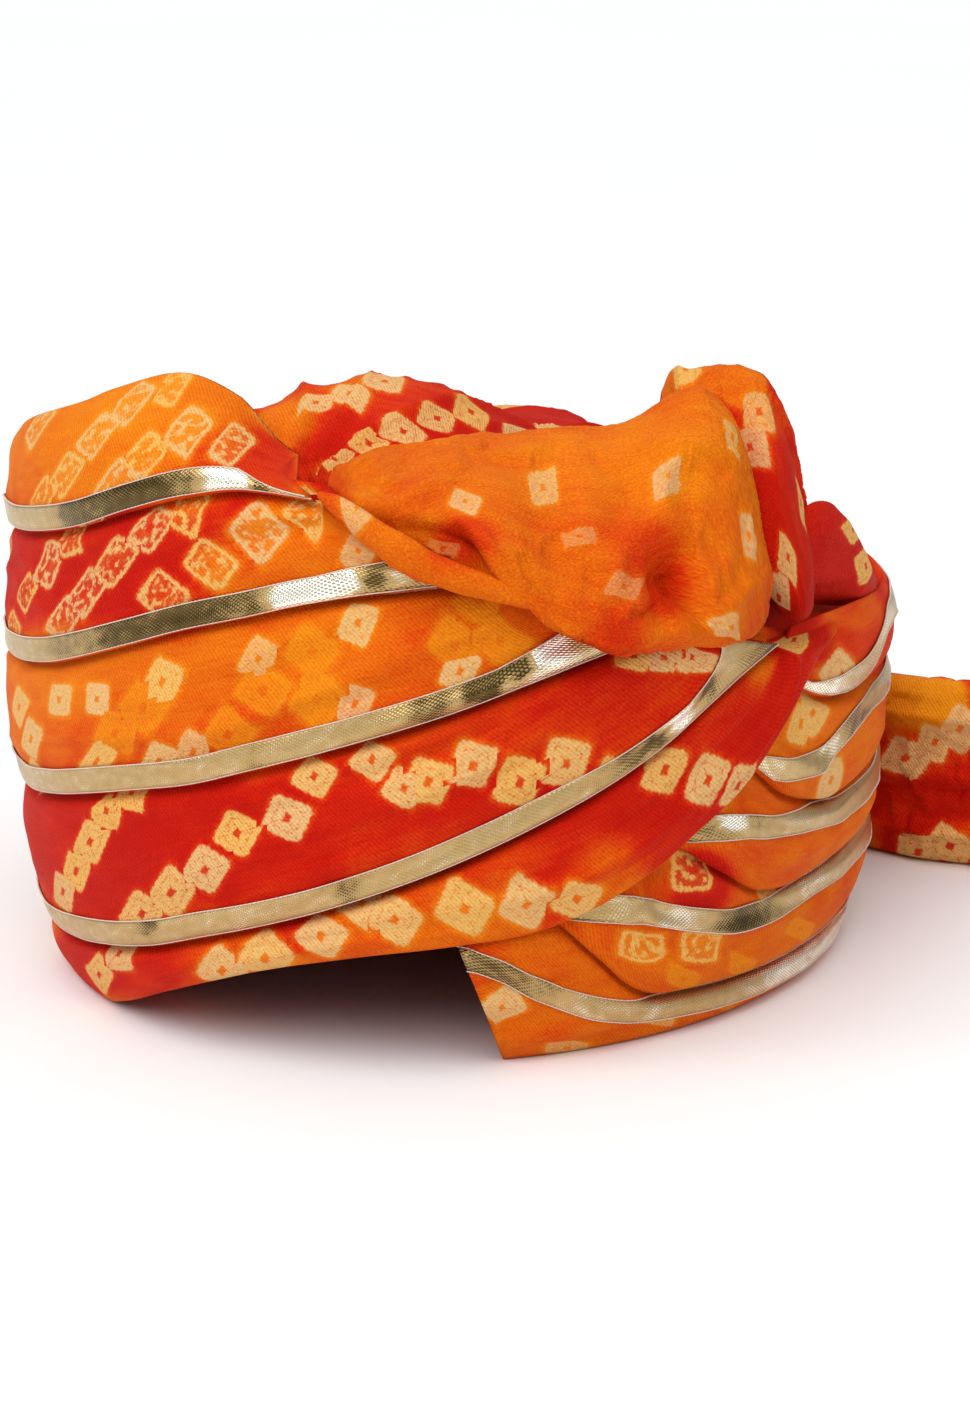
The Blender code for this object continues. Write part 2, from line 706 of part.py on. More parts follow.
def build():
    clear_scene()
    group = collection("turban")
    cutters = collection("cutters")
    wall_ring(group)
    crown(group)
    front_turns(group)
    side_turns(group)
    knot(group, cutters)
    tail(group)
    root = move_to_origin(group)
    for piece in list(group.objects) + list(cutters.objects):
        if piece != root:
            piece.parent = root


build()
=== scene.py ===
"""The looks of a wound tie-dye turban with gold ribbon trim, dressed over its solid model.

Shapes are worked out in millimetres about the head's axis, which is the middle of the padded wall.
Angles run round the head in degrees, from 0 at the forehead through +90 at the wearer's left and +180
at the nape. Meshes are in metres.
"""

import math

import bmesh
import bpy
import numpy as np
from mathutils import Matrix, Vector
from mathutils.bvhtree import BVHTree


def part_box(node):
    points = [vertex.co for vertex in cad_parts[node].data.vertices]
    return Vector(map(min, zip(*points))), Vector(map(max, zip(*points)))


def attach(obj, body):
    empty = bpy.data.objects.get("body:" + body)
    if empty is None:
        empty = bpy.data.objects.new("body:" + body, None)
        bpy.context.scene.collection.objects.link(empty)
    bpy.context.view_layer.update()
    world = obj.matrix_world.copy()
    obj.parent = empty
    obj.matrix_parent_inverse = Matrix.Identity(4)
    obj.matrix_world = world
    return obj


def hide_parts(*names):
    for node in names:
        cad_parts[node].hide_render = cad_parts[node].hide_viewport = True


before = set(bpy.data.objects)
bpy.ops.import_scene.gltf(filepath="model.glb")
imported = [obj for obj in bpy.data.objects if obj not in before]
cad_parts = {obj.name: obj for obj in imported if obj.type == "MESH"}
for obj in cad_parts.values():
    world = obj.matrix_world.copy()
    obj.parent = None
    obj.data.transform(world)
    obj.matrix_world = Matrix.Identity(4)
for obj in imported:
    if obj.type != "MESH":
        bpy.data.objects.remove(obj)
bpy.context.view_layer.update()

MM = 0.001
WALL_LOW, WALL_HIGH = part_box("padded_wall")
AXIS = (np.array(WALL_LOW) + np.array(WALL_HIGH)) / 2 / MM * (1, 1, 0)

# Driving sizes of the wound body, in mm, as the solids have them
HALF_WIDTH = 125.0
HALF_LENGTH = 145.0
WALL_THICK = 25.0
WALL_SWELL = 8.0
UNDER_GAP = 1.2
CLOTH_THIN = 1.4
FRONT_CLOTH = 2.6
SIDE_CLOTH = 2.4
FRONT_STEP = 1.2
SIDE_STEP = 1.8
PUFF = 1.5
CROSSING_LIFT = 3.2
CROWN_CLOTH = 1.6
RIBBON_WIDTH = 6.8
FRONT_RIBBON_WIDTHS = {1: 6.9, 2: 6.9, 3: 7.4, 4: 7.6}
# How much higher the top turn's ribbon lies where the turn leans in over the crown
LEAN_LIFT = 0.5
RIBBON_THICK = 0.35
RIBBON_RISE = 0.7
TURN = math.radians(22)

# Columns: height, width of the wall as a share of its widest
WALL_PROFILE = (
    (0, 0.864), (3, 0.874), (12, 0.899), (26, 0.928), (54, 0.956), (72, 0.970),
    (96, 0.982), (112, 0.980), (135, 0.966), (156, 0.958), (175, 0.940), (195, 0.900),
)
# Columns: angle, then the heights of the lower edge of front turns 5 to 1 and of the top edge of turn 1
FRONT_EDGES = (
    (-195, 0, 12, 36, 61, 85, 110),
    (-150, 0, 12, 37, 63, 88, 114),
    (-120, 0, 13, 42, 70, 97, 124),
    (-90, 0, 14.5, 50, 83, 115, 142),
    (-60, 0, 15, 56, 94, 130, 159),
    (-45, 0, 17, 59, 97.5, 134.5, 168),
    (-34, 0.5, 20, 64, 102.5, 139.5, 175),
    (-28, 4, 22.5, 67.5, 106.5, 143, 180),
    (-17, 13.5, 28, 74, 115, 151.5, 186),
    (-8, 21, 34.5, 79, 122, 157.5, 181),
    (0, 27, 40, 85, 127, 160.5, 169),
    (8, 31.5, 46, 91, 132, 159.5, 163.5),
    (17, 35.6, 54, 98, 136, 155, 160),
    (26, 38, 62.5, 104.7, 138, 150, 158),
    (34, 40, 70.6, 111, 137, 147, 154),
    (43, 46, 80.5, 117, 135, 144, 150),
    (50, 54, 89.5, 120.5, 134, 142, 148),
    (56, 63, 98.5, 122, 134, 142, 148),
    (62, 72, 106, 123, 134, 142, 148),
    (69, 89, 112, 124, 134, 142, 148),
    (76, 105, 116, 125, 134, 142, 148),
    (84, 111, 119, 126, 134, 142, 148),
)
# Where each of those edges starts at the nape and ends under the knot, in the same order
FRONT_STARTS = (-195.0, -195.0, -187.5, -180.0, -180.0, -172.5)
FRONT_ENDS = (82.5, 67.5, 52.5, 30.0, 9.5, 2.5)
# Columns: angle, height of what is left of the front turns under the knot
UNDER_KNOT = ((0, 169), (8, 170), (15, 167), (22, 152), (30, 141), (43, 128), (60, 120), (76, 113))
# Columns: angle, how far the top edge of front turn 1 leans in over the crown
TOP_LEAN = ((-195, 0), (-150, 0), (-90, 1), (-50, 3), (-28, 8), (-17, 14), (-8, 19), (0, 21), (8, 20),
            (84, 20))
# Columns: angle, height. The lower edges of the side turns, from the rim up, and the top edge
SIDE_FOLDS = {
    5: ((24, 0), (204, 0)),
    4: ((24, 48), (32, 50.5), (38, 41.7), (43.7, 29.6), (50, 17), (54, 13.8), (62, 12.9), (70, 12),
        (95, 12.3), (120, 14), (150, 15), (204, 15)),
    3: ((24, 76), (52, 62), (55, 57), (61.8, 46.8), (69, 37.5), (74, 35.8), (82, 36.8), (96, 37),
        (120, 36.5), (204, 36)),
    2: ((24, 92), (60, 84), (65.6, 75.5), (71, 65.5), (77, 60), (83, 57), (92, 57.5), (120, 59),
        (204, 60)),
    1: ((24, 100), (68, 100), (73, 95), (77, 90.5), (80.5, 88.5), (86.7, 86.8), (93, 87), (97, 87.5),
        (120, 85), (150, 84), (204, 84)),
    0: ((24, 113), (76, 113), (85, 112), (95, 110), (110, 106), (120, 105), (150, 106), (180, 109),
        (204, 110)),
}
SIDE_STARTS = {5: 32.0, 4: 24.0, 3: 52.0, 2: 64.0, 1: 68.0, 0: 72.0}
SIDE_ENDS = {5: 172.0, 4: 172.0, 3: 180.0, 2: 188.0, 1: 188.0, 0: 196.0}
# Columns: angle, height of the middle of each gold ribbon on the side turns
SIDE_RIBBONS = {
    5: ((28.4, 34), (36.1, 22.7), (44.4, 14.1), (52, 10.1), (60, 8.9), (70, 7.7), (93, 7), (132, 5)),
    4: ((43.9, 46.6), (50, 41.5), (57.7, 35.5), (64.5, 31.8), (72, 31), (81, 32), (97, 32.5),
        (120, 31.5), (204, 31)),
    3: ((58, 62.9), (64, 60.2), (69.6, 57), (78, 54.5), (86, 52), (99, 52), (120, 54), (204, 55)),
    2: ((66, 76.2), (71, 72.9), (76.5, 72.1), (80.7, 75.5), (86, 79), (95, 81), (120, 80), (204, 78)),
    1: ((80, 91.5), (86, 92.5), (90, 95), (94, 99), (98, 102), (104, 102), (120, 100), (204, 101)),
}
SIDE_RIBBON_TUCKS = {5: -6, 4: 5, 3: 5, 2: 5, 1: 5}
SIDE_RIBBON_ENDS = {5: 132.0, 4: 176.0, 3: 180.0, 2: 184.0, 1: 188.0}

# The knot, in axes turned by TURN towards the wearer's left. Columns: across, low edge (back, up), high
# edge (back, up), swell to the front, swell to the rear
BLOOM = (
    (-31, -129, 160, -118, 163, 2, 2),
    (-27, -135, 157, -106, 161, 6, 4),
    (-21, -139, 155, -97, 159.5, 10, 7),
    (-13, -142, 152, -90, 158, 13, 9),
    (-5, -144, 150, -85, 157, 15, 11),
    (8, -147, 146, -80, 157, 17, 13),
    (20, -149, 139, -79, 158.5, 18, 14),
    (30, -148, 130, -77, 160, 19, 14),
    (42, -146, 125, -76, 161, 20, 15),
    (51, -141, 123.5, -74, 165, 20, 15),
    (60, -134, 122, -72, 171, 20, 15),
    (67, -128, 120.5, -70, 174, 20, 14),
    (73, -122, 119, -72, 171, 18, 13),
    (80, -115, 119, -80, 159, 13, 10),
    (84, -110, 121, -88, 146, 8, 7),
    (86, -106, 126, -96, 135, 3, 3),
)
CREST = (
    (58.5, -50, 160, -44, 171.5, 3, 3),
    (60.5, -58, 154, -42, 176, 7, 7),
    (65, -70, 145, -44, 177.5, 11, 13),
    (72, -79, 136, -46, 178.5, 15, 20),
    (80, -87, 129, -50, 179, 17, 24),
    (87, -92, 124, -54, 177, 17, 26),
    (92, -96, 121, -58, 169, 15, 20),
    (96, -98, 119.5, -64, 157, 11, 15),
    (99, -96, 120, -73, 143, 7, 8),
    (100.5, -92, 121, -82, 130, 3, 4),
)
# Columns: across, back, up, half width, half thickness, roll in degrees
LOWER_FOLD = (
    (-34, -137, 161, 1, 1, 60),
    (-29, -142, 159, 3.4, 2.2, 60),
    (-20, -147, 153, 5.2, 3.2, 60),
    (-12, -150, 148, 5.6, 3.6, 62),
    (-4, -151, 144, 4.4, 3.4, 64),
    (5, -151.5, 141, 3.8, 3, 66),
    (15, -151, 137.5, 2.8, 2.4, 66),
    (24, -150, 134, 1.4, 1.5, 66),
)
TUCK = (
    (90, -78, 129, 12.5, 4, 80),
    (99, -66, 129, 15.5, 5.5, 78),
    (107, -52, 122.5, 12, 6, 74),
    (114.5, -37, 115, 7.5, 5.3, 70),
    (119.5, -23, 111, 4.2, 4, 64),
    (121.5, -10, 109, 3, 3, 60),
    (121.5, 2, 108, 2.2, 2.2, 56),
)
# Columns: across, back, height, half thickness of the tail where it stands on its edge
TAIL = (
    (79, 123.5, 42, 3),
    (94.7, 111.3, 50, 5),
    (108.4, 98.6, 55, 7),
    (123, 86, 58, 8),
    (137, 72, 59, 9),
    (153, 61, 59, 10),
    (170, 56, 59, 10),
    (190, 54, 58, 10),
    (205, 54, 57, 8),
)
# The crown: its puff's middle and reach, across and back, the puff's height, and the dome's top
PUFF_MIDDLE = (-16, -58)
PUFF_REACH = (46, 42)
PUFF_HEIGHT = 26.0
CROWN_TOP = 152.0
# How far the crown's border lies inside the wall and below the turns, and how much lower at the front
BORDER_INSET = 1.2
BORDER_DROP = 11.0
FRONT_DROP = 12.0
# How far the wall's rim keeps above the arch of the front turns, and its top below the crown's border
ARCH_CLEARANCE = 4.0
WALL_TOP_GAP = 5.5
# The soft channels inside the wall: how tall, how deep, and the degrees round the head that tilt them
CHANNEL_HEIGHT = 17.0
CHANNEL_DEPTH = 2.0
CHANNEL_TILT = 130.0
# Where the crown's cloth is gathered, across and back, how deep its pleats are there, further away and
# between the pleats, and how many pleats there are
GATHER_POINT = (-42, -100)
GATHER_DEPTH = 3.0
FAR_DEPTH = 1.9
FINER_DEPTH = 2.0
GATHER_COUNT = 17
# Degrees from column to column of the crown's mesh, and its rows from border to middle
CROWN_STEP = 1.125
CROWN_ROWS = 84
# How much of the crown's half width is held under the turns, and over how much more the hold fades
HELD_BORDER = 0.14
HOLD_FADES = 0.12
# How high up the tail's foot is held, and how firmly the rest is
FOOT_HEIGHT = 2.0
TAIL_HOLD = 0.25


def ease(t):
    """0 below 0, 1 above 1 and a smooth ramp between."""
    t = np.clip(t, 0.0, 1.0)
    return t * t * (3 - 2 * t)


def along(table, at, column=1):
    """A table's column at values of its first column, on a smooth curve through the rows."""
    rows = np.array(table, float)
    xs, ys = rows[:, 0], rows[:, column]
    slopes = np.diff(ys) / np.diff(xs)
    tangents = np.zeros(len(xs))
    before, after = slopes[:-1], slopes[1:]
    same_way = before * after > 0
    both = np.where(same_way, before + after, 1)
    tangents[1:-1] = np.where(same_way, 2 * before * after / both, 0)
    tangents[0], tangents[-1] = slopes[0], slopes[-1]
    at = np.clip(at, xs[0], xs[-1])
    i = np.clip(np.searchsorted(xs, at, side="right") - 1, 0, len(xs) - 2)
    span = xs[i + 1] - xs[i]
    t = (at - xs[i]) / span
    start = ys[i] * (1 + 2 * t) + tangents[i] * span * t
    end = ys[i + 1] * (3 - 2 * t) - tangents[i + 1] * span * (1 - t)
    return start * (1 - t) ** 2 + end * t * t


def spread(table, count):
    """Rows spread evenly along a table, on smooth curves through its rows."""
    numbered = [(i, *row) for i, row in enumerate(table)]
    at = np.linspace(0, len(table) - 1, count)
    return np.stack([along(numbered, at, column) for column in range(1, len(table[0]) + 1)], axis=1)


def lattice(x, y, z, seed):
    """A repeatable random number from 0 to 1 for whole numbers x, y, z."""
    mixed = x * 73856093 ^ y * 19349663 ^ z * 83492791 ^ (seed + 7) * 2654435761
    mixed = (mixed ^ (mixed >> 13)) * 1274126177 & 0x7FFFFFFF
    return ((mixed ^ (mixed >> 15)) & 0xFFFFFF) / 0xFFFFFF


def noise(x, y, z=0.0, seed=0):
    """Smooth noise from -1 to 1.

    Where it shapes cloth, each place in mm is divided by the size of its waves, and the factor before
    the call is their height in mm.
    """
    x, y, z = np.broadcast_arrays(np.asarray(x, float), y, z)
    cells = [np.floor(a).astype(np.int64) for a in (x, y, z)]
    fx, fy, fz = (ease(a - cell) for a, cell in zip((x, y, z), cells))
    total = 0.0
    for i in (0, 1):
        for j in (0, 1):
            for k in (0, 1):
                weight = (fx if i else 1 - fx) * (fy if j else 1 - fy) * (fz if k else 1 - fz)
                total = total + weight * lattice(cells[0] + i, cells[1] + j, cells[2] + k, seed)
    return 2 * total - 1


def wall_points(angle, height, offset=0.0):
    """Points on the body's wall, moved out level by an offset."""
    share = along(WALL_PROFILE, height)
    turn = np.radians(angle)
    across = (HALF_WIDTH * share + offset) * np.sin(turn)
    back = -(HALF_LENGTH * share + offset) * np.cos(turn)
    return np.stack(np.broadcast_arrays(across, back, height), axis=-1)


def turned(across, back, up):
    """Points given in the axes turned by TURN."""
    cos, sin = math.cos(TURN), math.sin(TURN)
    return np.stack(np.broadcast_arrays(across * cos - back * sin, across * sin + back * cos, up), axis=-1)


def unit(vectors):
    """The same directions, each at length 1."""
    return vectors / np.maximum(np.linalg.norm(vectors, axis=-1, keepdims=True), 1e-9)


def running_length(points, axis):
    """How far along each point lies on its line of points."""
    steps = np.linalg.norm(np.diff(points, axis=axis), axis=-1)
    start = np.zeros_like(np.take(steps, [0], axis=axis))
    return np.concatenate([start, np.cumsum(steps, axis=axis)], axis=axis)


# Meshes


# The cloth's pattern is laid out in cm
MM_PER_CM = 10
# Points that lie closer together than this, in metres, are made one
SEAM_GAP = 2e-6
# Where the closed ends of a piece take their pattern from the cloth, in mm
CAP_SHIFT = 900.0


def add_object(name, data):
    """A new object in the scene."""
    made = bpy.data.objects.new(name, data)
    bpy.context.scene.collection.objects.link(made)
    return made


def mesh_object(name, points, faces, uvs):
    """An object from points, faces and each face corner's place on the cloth, all in mm."""
    mesh = bpy.data.meshes.new(name)
    mesh.from_pydata(((np.asarray(points) + AXIS) * MM).tolist(), [], faces)
    layer = mesh.uv_layers.new(name="cloth")
    layer.data.foreach_set("uv", np.asarray(uvs, np.float32).ravel() / MM_PER_CM)
    body = bmesh.new()
    body.from_mesh(mesh)
    bmesh.ops.remove_doubles(body, verts=body.verts, dist=SEAM_GAP)
    bmesh.ops.recalc_face_normals(body, faces=body.faces)
    body.to_mesh(mesh)
    body.free()
    mesh.shade_smooth()
    return add_object(name, mesh)


def tube(name, loops, lengths=None, both_ways=False):
    """A closed body through loops of points, an array of loop by place round it by x, y, z.

    Its pattern runs round it from the first place, or both ways from there to the far side.
    """
    count, sides = loops.shape[:2]
    round_it = running_length(np.concatenate([loops, loops[:, :1]], axis=1), 1)
    if lengths is None:
        lengths = running_length(loops.mean(axis=1), 0)
    faces, uvs = [], []
    for i in range(count - 1):
        for k in range(sides):
            j = (k + 1) % sides
            faces.append((i * sides + k, i * sides + j, (i + 1) * sides + j, (i + 1) * sides + k))
            low, high = lengths[i], lengths[i + 1]
            here, there = round_it[i], round_it[i + 1]
            if both_ways and k >= sides // 2:
                here, there = here - here[-1], there - there[-1]
            uvs += [(low, here[k]), (low, here[k + 1]), (high, there[k + 1]), (high, there[k])]
    points = loops.reshape(-1, 3)
    for end, loop in ((0, loops[0]), (count - 1, loops[-1])):
        centre = len(points)
        points = np.concatenate([points, loop.mean(axis=0)[None]])
        for k in range(sides):
            j = (k + 1) % sides
            faces.append((end * sides + j, end * sides + k, centre))
            uvs += [CAP_SHIFT + spot[1:] for spot in (loop[j], loop[k], points[centre])]
    return mesh_object(name, points, faces, uvs)


def ring_sheet(name, points, flat):
    """A sheet from a grid of points that is joined round its first axis.

    flat gives the cloth's place at each corner of its faces. It goes one further than the points round
    the first axis, and also along the second where the sheet is joined both ways.
    """
    count, rows = points.shape[:2]
    faces, uvs = [], []
    for i in range(count):
        j = (i + 1) % count
        for k in range(flat.shape[1] - 1):
            m = (k + 1) % rows
            faces.append((i * rows + k, j * rows + k, j * rows + m, i * rows + m))
            uvs += [flat[i, k], flat[i + 1, k], flat[i + 1, k + 1], flat[i, k + 1]]
    return mesh_object(name, points.reshape(-1, 3), faces, uvs)


def evaluated_mesh(piece):
    """A new mesh with what the piece's modifiers make."""
    graph = bpy.context.evaluated_depsgraph_get()
    return bpy.data.meshes.new_from_object(piece.evaluated_get(graph))


def thicken(piece, thickness):
    """Gives a sheet a thickness in mm below it."""
    shell = piece.modifiers.new("cloth", "SOLIDIFY")
    shell.thickness = thickness * MM
    shell.offset = -1
    made = evaluated_mesh(piece)
    piece.modifiers.clear()
    piece.data = made
    made.name = piece.name


def values_of(items, name, width=1, kind=np.float32):
    """A property of each of a mesh's points, corners or faces, as an array."""
    found = np.zeros(len(items) * width, kind)
    items.foreach_get(name, found)
    return found.reshape(-1, width) if width > 1 else found


def write_values(piece, name, kind, domain, field, values):
    """Writes an array as a new attribute of a piece."""
    made = piece.data.attributes.new(name, kind, domain)
    made.data.foreach_set(field, np.asarray(values, np.float32).ravel())


def positions(piece):
    return values_of(piece.data.vertices, "co", 3).astype(float)


def place(piece, points):
    piece.data.vertices.foreach_set("co", points.astype(np.float32).ravel())
    piece.data.update()


# How stiff the simulated cloth is, how many frames it settles for, and its spare length as a share
FABRIC = {
    "quality": 6, "mass": 0.12, "tension_stiffness": 18, "compression_stiffness": 18,
    "shear_stiffness": 6, "bending_stiffness": 0.08, "use_pressure": True,
}
SETTLING_FRAMES = 16
SPARE_CLOTH = 0.05


def settle(piece, held, pressure, cap):
    """Cloth simulation of a piece that has a little more cloth than room, with some points held.

    held gives each point's hold from 0, free, to 1. No point moves more than cap mm.
    """
    start = positions(piece)
    group = piece.vertex_groups.new(name="held")
    for i, weight in enumerate(held):
        group.add([i], float(weight), "REPLACE")
    cloth = piece.modifiers.new("cloth", "CLOTH")
    fabric = cloth.settings
    for setting, value in FABRIC.items():
        setattr(fabric, setting, value)
    fabric.uniform_pressure_force = pressure
    fabric.shrink_min = -SPARE_CLOTH
    fabric.vertex_group_mass = "held"
    fabric.pin_stiffness = 1
    fabric.effector_weights.gravity = 0
    cloth.point_cache.frame_start = 1
    cloth.point_cache.frame_end = SETTLING_FRAMES
    for step in range(1, SETTLING_FRAMES + 1):
        bpy.context.scene.frame_set(step)
    settled = evaluated_mesh(piece)
    moved = values_of(settled.vertices, "co", 3) - start
    bpy.data.meshes.remove(settled)
    piece.modifiers.remove(cloth)
    piece.vertex_groups.clear()
    bpy.context.scene.frame_set(1)
    far = np.linalg.norm(moved, axis=1, keepdims=True)
    share = np.minimum(1, cap * MM / np.maximum(far, 1e-9))
    place(piece, start + moved * share)


# The wound turns


def front_edge(column, angle):
    """The height of one of the front turns' edges."""
    return along(FRONT_EDGES, angle, column)


def crossing_angle(height):
    """The angle at which the lower edge of the front turns passes a height, past the arch."""
    rising = [(row[1], row[0]) for row in FRONT_EDGES if 15 < row[0]]
    return along(rising, height)


def nape_angle(height):
    """The angle of the slanted edge where the front turns end at the nape."""
    slant = [(high, start + 360) for high, start in zip(FRONT_EDGES[0][1:], FRONT_STARTS)]
    return along(slant, height)


def lean_at(angle, share):
    """How far the top turn leans in over the crown, at a share of its height."""
    return along(TOP_LEAN, angle) * np.clip(share, 0, 1) ** 3


def front_lift(angle):
    """How far the front turns rise where they pass over the side turns, at both ends."""
    return CROSSING_LIFT * np.maximum(ease((angle - 2) / 20), ease((-145 - angle) / 15))


def side_fullness(angle, height):
    """How full the side turns are, from 0 where the front turns cover them to 1 in the open."""
    at_front = ease((angle - crossing_angle(height) - 2) / 9)
    at_nape = ease((nape_angle(height) - angle - 2) / 9)
    return np.minimum(at_front, at_nape)


# How a turn is sampled: the rolled fold at its low edge and its radius in mm, the rows of its face, the
# degrees from column to column, and how far in a wrinkle may go, in mm
ROLL = 1 - np.cos(np.linspace(0, np.pi / 2, 6))
FOLD_RADIUS = 2.2
FACE_ROWS = 26
TURN_STEP = 1.5
DEEPEST_WRINKLE = -1.8


class Turn:
    """A lapped turn of folded cloth between two edges that climb round the head."""

    def __init__(self, low, high, low_span, high_span, sizes, seed, pull, lean=False, open_top=False):
        self.low, self.high, self.sizes, self.seed = low, high, sizes, seed
        self.pull, self.lean, self.open_top = pull, lean, open_top
        ends = (min(low_span[0], high_span[0]), max(low_span[1], high_span[1]))
        angles = np.arange(ends[0], ends[1] + TURN_STEP / 2, TURN_STEP)
        at_low = np.clip(angles, *low_span)
        at_high = np.clip(angles, *high_span)
        fresh = np.ones(len(angles), bool)
        fresh[1:] = (np.diff(at_low) != 0) | (np.diff(at_high) != 0)
        self.at_low, self.at_high = at_low[fresh][:, None], at_high[fresh][:, None]
        self.bottom = low(self.at_low)
        self.top = high(self.at_high)
        self.tall = np.maximum(self.top - self.bottom, 0.5)
        middle = wall_points((self.at_low + self.at_high) / 2, (self.bottom + self.top) / 2)
        self.run = running_length(middle[:, 0], 0)[:, None]

    def wrinkles(self, angle, rise):
        """How far the face stands out or in at heights above the low edge."""
        run, seed = self.run, self.seed
        inside = ease(rise / 7) * ease((self.tall - rise) / 5)
        near_ribbon = ease((rise - 8) / 3) * ease((20 - rise) / 8)
        pull = self.pull(angle)
        broad = 1.0 * noise(run / 70, rise / 15, 0, seed)
        ridge = noise(run / 95, rise / 8 + noise(run / 60, 0, 3, seed), 1, seed)
        ridges = 1.5 * (0.5 - np.abs(ridge)) * (0.55 + pull)
        pulled = 1.15 * pull * noise(run / 42 + rise / 60, rise / 4.2, 2, seed)
        slanting = 0.7 * (0.5 - np.abs(noise(run / 26 - rise / 12, rise / 30, 6, seed)))
        crinkle = 0.3 * noise(run / 11, rise / 7, 4, seed)
        pucker = 0.16 * near_ribbon * noise(run / 3.4, rise / 9, 5, seed)
        cloth = broad + ridges + pulled + slanting + crinkle
        return np.maximum(inside * cloth + pucker, DEEPEST_WRINKLE)

    def surface(self, rise, over=0.0, side=1):
        """Points at heights above the low edge, on the outer face at side 1 or the inner one at 0."""
        share = rise / self.tall
        inside = np.clip(share, 0, 1)
        angle = self.at_low + (self.at_high - self.at_low) * inside
        height = self.bottom + rise
        inner, cloth, step = self.sizes(angle, height)
        outer = inner + cloth + step * (1 - inside) + 4 * PUFF * inside * (1 - inside)
        outer = outer + self.wrinkles(angle, rise) * np.minimum(cloth / 2, 1)
        radius = np.minimum((outer - inner) / 2, self.tall / 3)
        closing = 1 - np.clip(rise / radius, 0, 1)
        if self.open_top:
            closing = np.maximum(closing, 1 - np.clip((self.tall - rise) / radius, 0, 1))
        rounding = np.sqrt(1 - closing ** 2)
        middle = (inner + outer) / 2
        offset = middle + (outer - middle if side else inner - middle) * rounding
        if not self.open_top:
            tuck = ease((rise - self.tall + 3.2) / 3.4)
            offset = offset + (UNDER_GAP * (0.75 if side else 0.3) - offset) * tuck
        if self.lean:
            offset = offset - lean_at(angle, share)
        return wall_points(angle, height, offset + over)

    def rises(self):
        """The heights above the low edge at which the section is sampled."""
        radius = np.minimum(FOLD_RADIUS, self.tall / 3)
        rolled = ROLL * radius
        if self.open_top:
            face = radius + (self.tall - 2 * radius) * np.linspace(0, 1, FACE_ROWS)[1:-1]
            return np.concatenate([rolled, face, self.tall - rolled[:, ::-1]], axis=1)
        face = radius + (self.tall - radius) * np.linspace(0, 1, FACE_ROWS)[1:]
        under = [self.tall + deep + 0 * radius for deep in (2, 4)]
        return np.concatenate([rolled, face, *under], axis=1)

    def solid(self, name):
        rises = self.rises()
        outer = self.surface(rises)
        inner = self.surface(rises[:, ::-4], side=0)
        self.flat = (float(running_length(outer, 1)[:, -1].mean()), float(self.run[-1, 0]))
        return tube(name, np.concatenate([outer, inner], axis=1), self.run[:, 0])

    def ribbon(self, name, low_rise, high_rise, shown, seed):
        """A gold ribbon on the face that tips a little as it runs."""
        part = np.linspace(0, 1, 9)[None]
        rise = low_rise + (high_rise - low_rise) * part
        tip = 0.5 * noise(self.run / 34, 0, 0, seed) + 0.25 * noise(self.run / 9, 1, 0, seed)
        over = 0.3 + tip * (part - 0.5) * 0.6
        lift = np.zeros((len(self.run), 1, 3))
        if self.lean:
            lift[..., 2] = LEAN_LIFT * ease((lean_at(self.at_low, 1.0) - 8) / 10)
        upper = self.surface(rise, over + RIBBON_THICK) + lift
        lower = self.surface(rise[:, ::-1], over[:, ::-1]) + lift
        keep = shown(self.at_low + (self.at_high - self.at_low) * rise[:, 4:5] / self.tall,
                     self.bottom + rise[:, 4:5])[:, 0]
        run = self.run[keep, 0]
        edges = [upper[keep, 0], upper[keep, -1]]
        loops = np.concatenate([upper, lower], axis=1)[keep]
        return tube(name, loops, run), edges


def everywhere(angle, height):
    """Shows the whole length of a ribbon."""
    return np.ones_like(angle + height, bool)


class Winding:
    """The turns of cloth, with their ribbons and the lines of the ribbons' edges."""

    def __init__(self):
        self.turns, self.ribbons, self.edges = {}, {}, []

    def add_turn(self, name, turn):
        self.turns[name] = (turn.solid(name + "_cloth"), turn)

    def add_ribbon(self, name, turn, low_rise, high_rise, shown, seed):
        self.ribbons[name], sides = turn.ribbon(name + "_gold", low_rise, high_rise, shown, seed)
        self.edges += sides


def wind_front(winding):
    """Five turns across the forehead from the wearer's right, and their ribbons."""
    def sizes(angle, height):
        return UNDER_GAP + front_lift(angle), FRONT_CLOTH, FRONT_STEP

    for number in range(5, 0, -1):
        column = 6 - number
        turn = Turn(
            lambda angle, c=column: front_edge(c, angle),
            lambda angle, c=column + 1: front_edge(c, angle),
            (FRONT_STARTS[column - 1], FRONT_ENDS[column - 1]),
            (FRONT_STARTS[column], FRONT_ENDS[column]),
            sizes,
            seed=number,
            pull=lambda angle: ease((angle + 40) / 70),
            lean=number == 1,
            open_top=number == 1,
        )
        winding.add_turn(f"front_turn_{number}", turn)
        if number == 5:
            continue
        start = np.minimum(RIBBON_RISE, turn.tall * 0.2)
        end = np.minimum(start + FRONT_RIBBON_WIDTHS[number], turn.tall * 0.8)
        # The highest ribbon narrows towards the knot
        if number == 1:
            end = start + (end - start) * (1 - 0.85 * ease((turn.at_low + 8) / 17))
        winding.add_ribbon(f"front_ribbon_{number}", turn, start, end, everywhere, number)


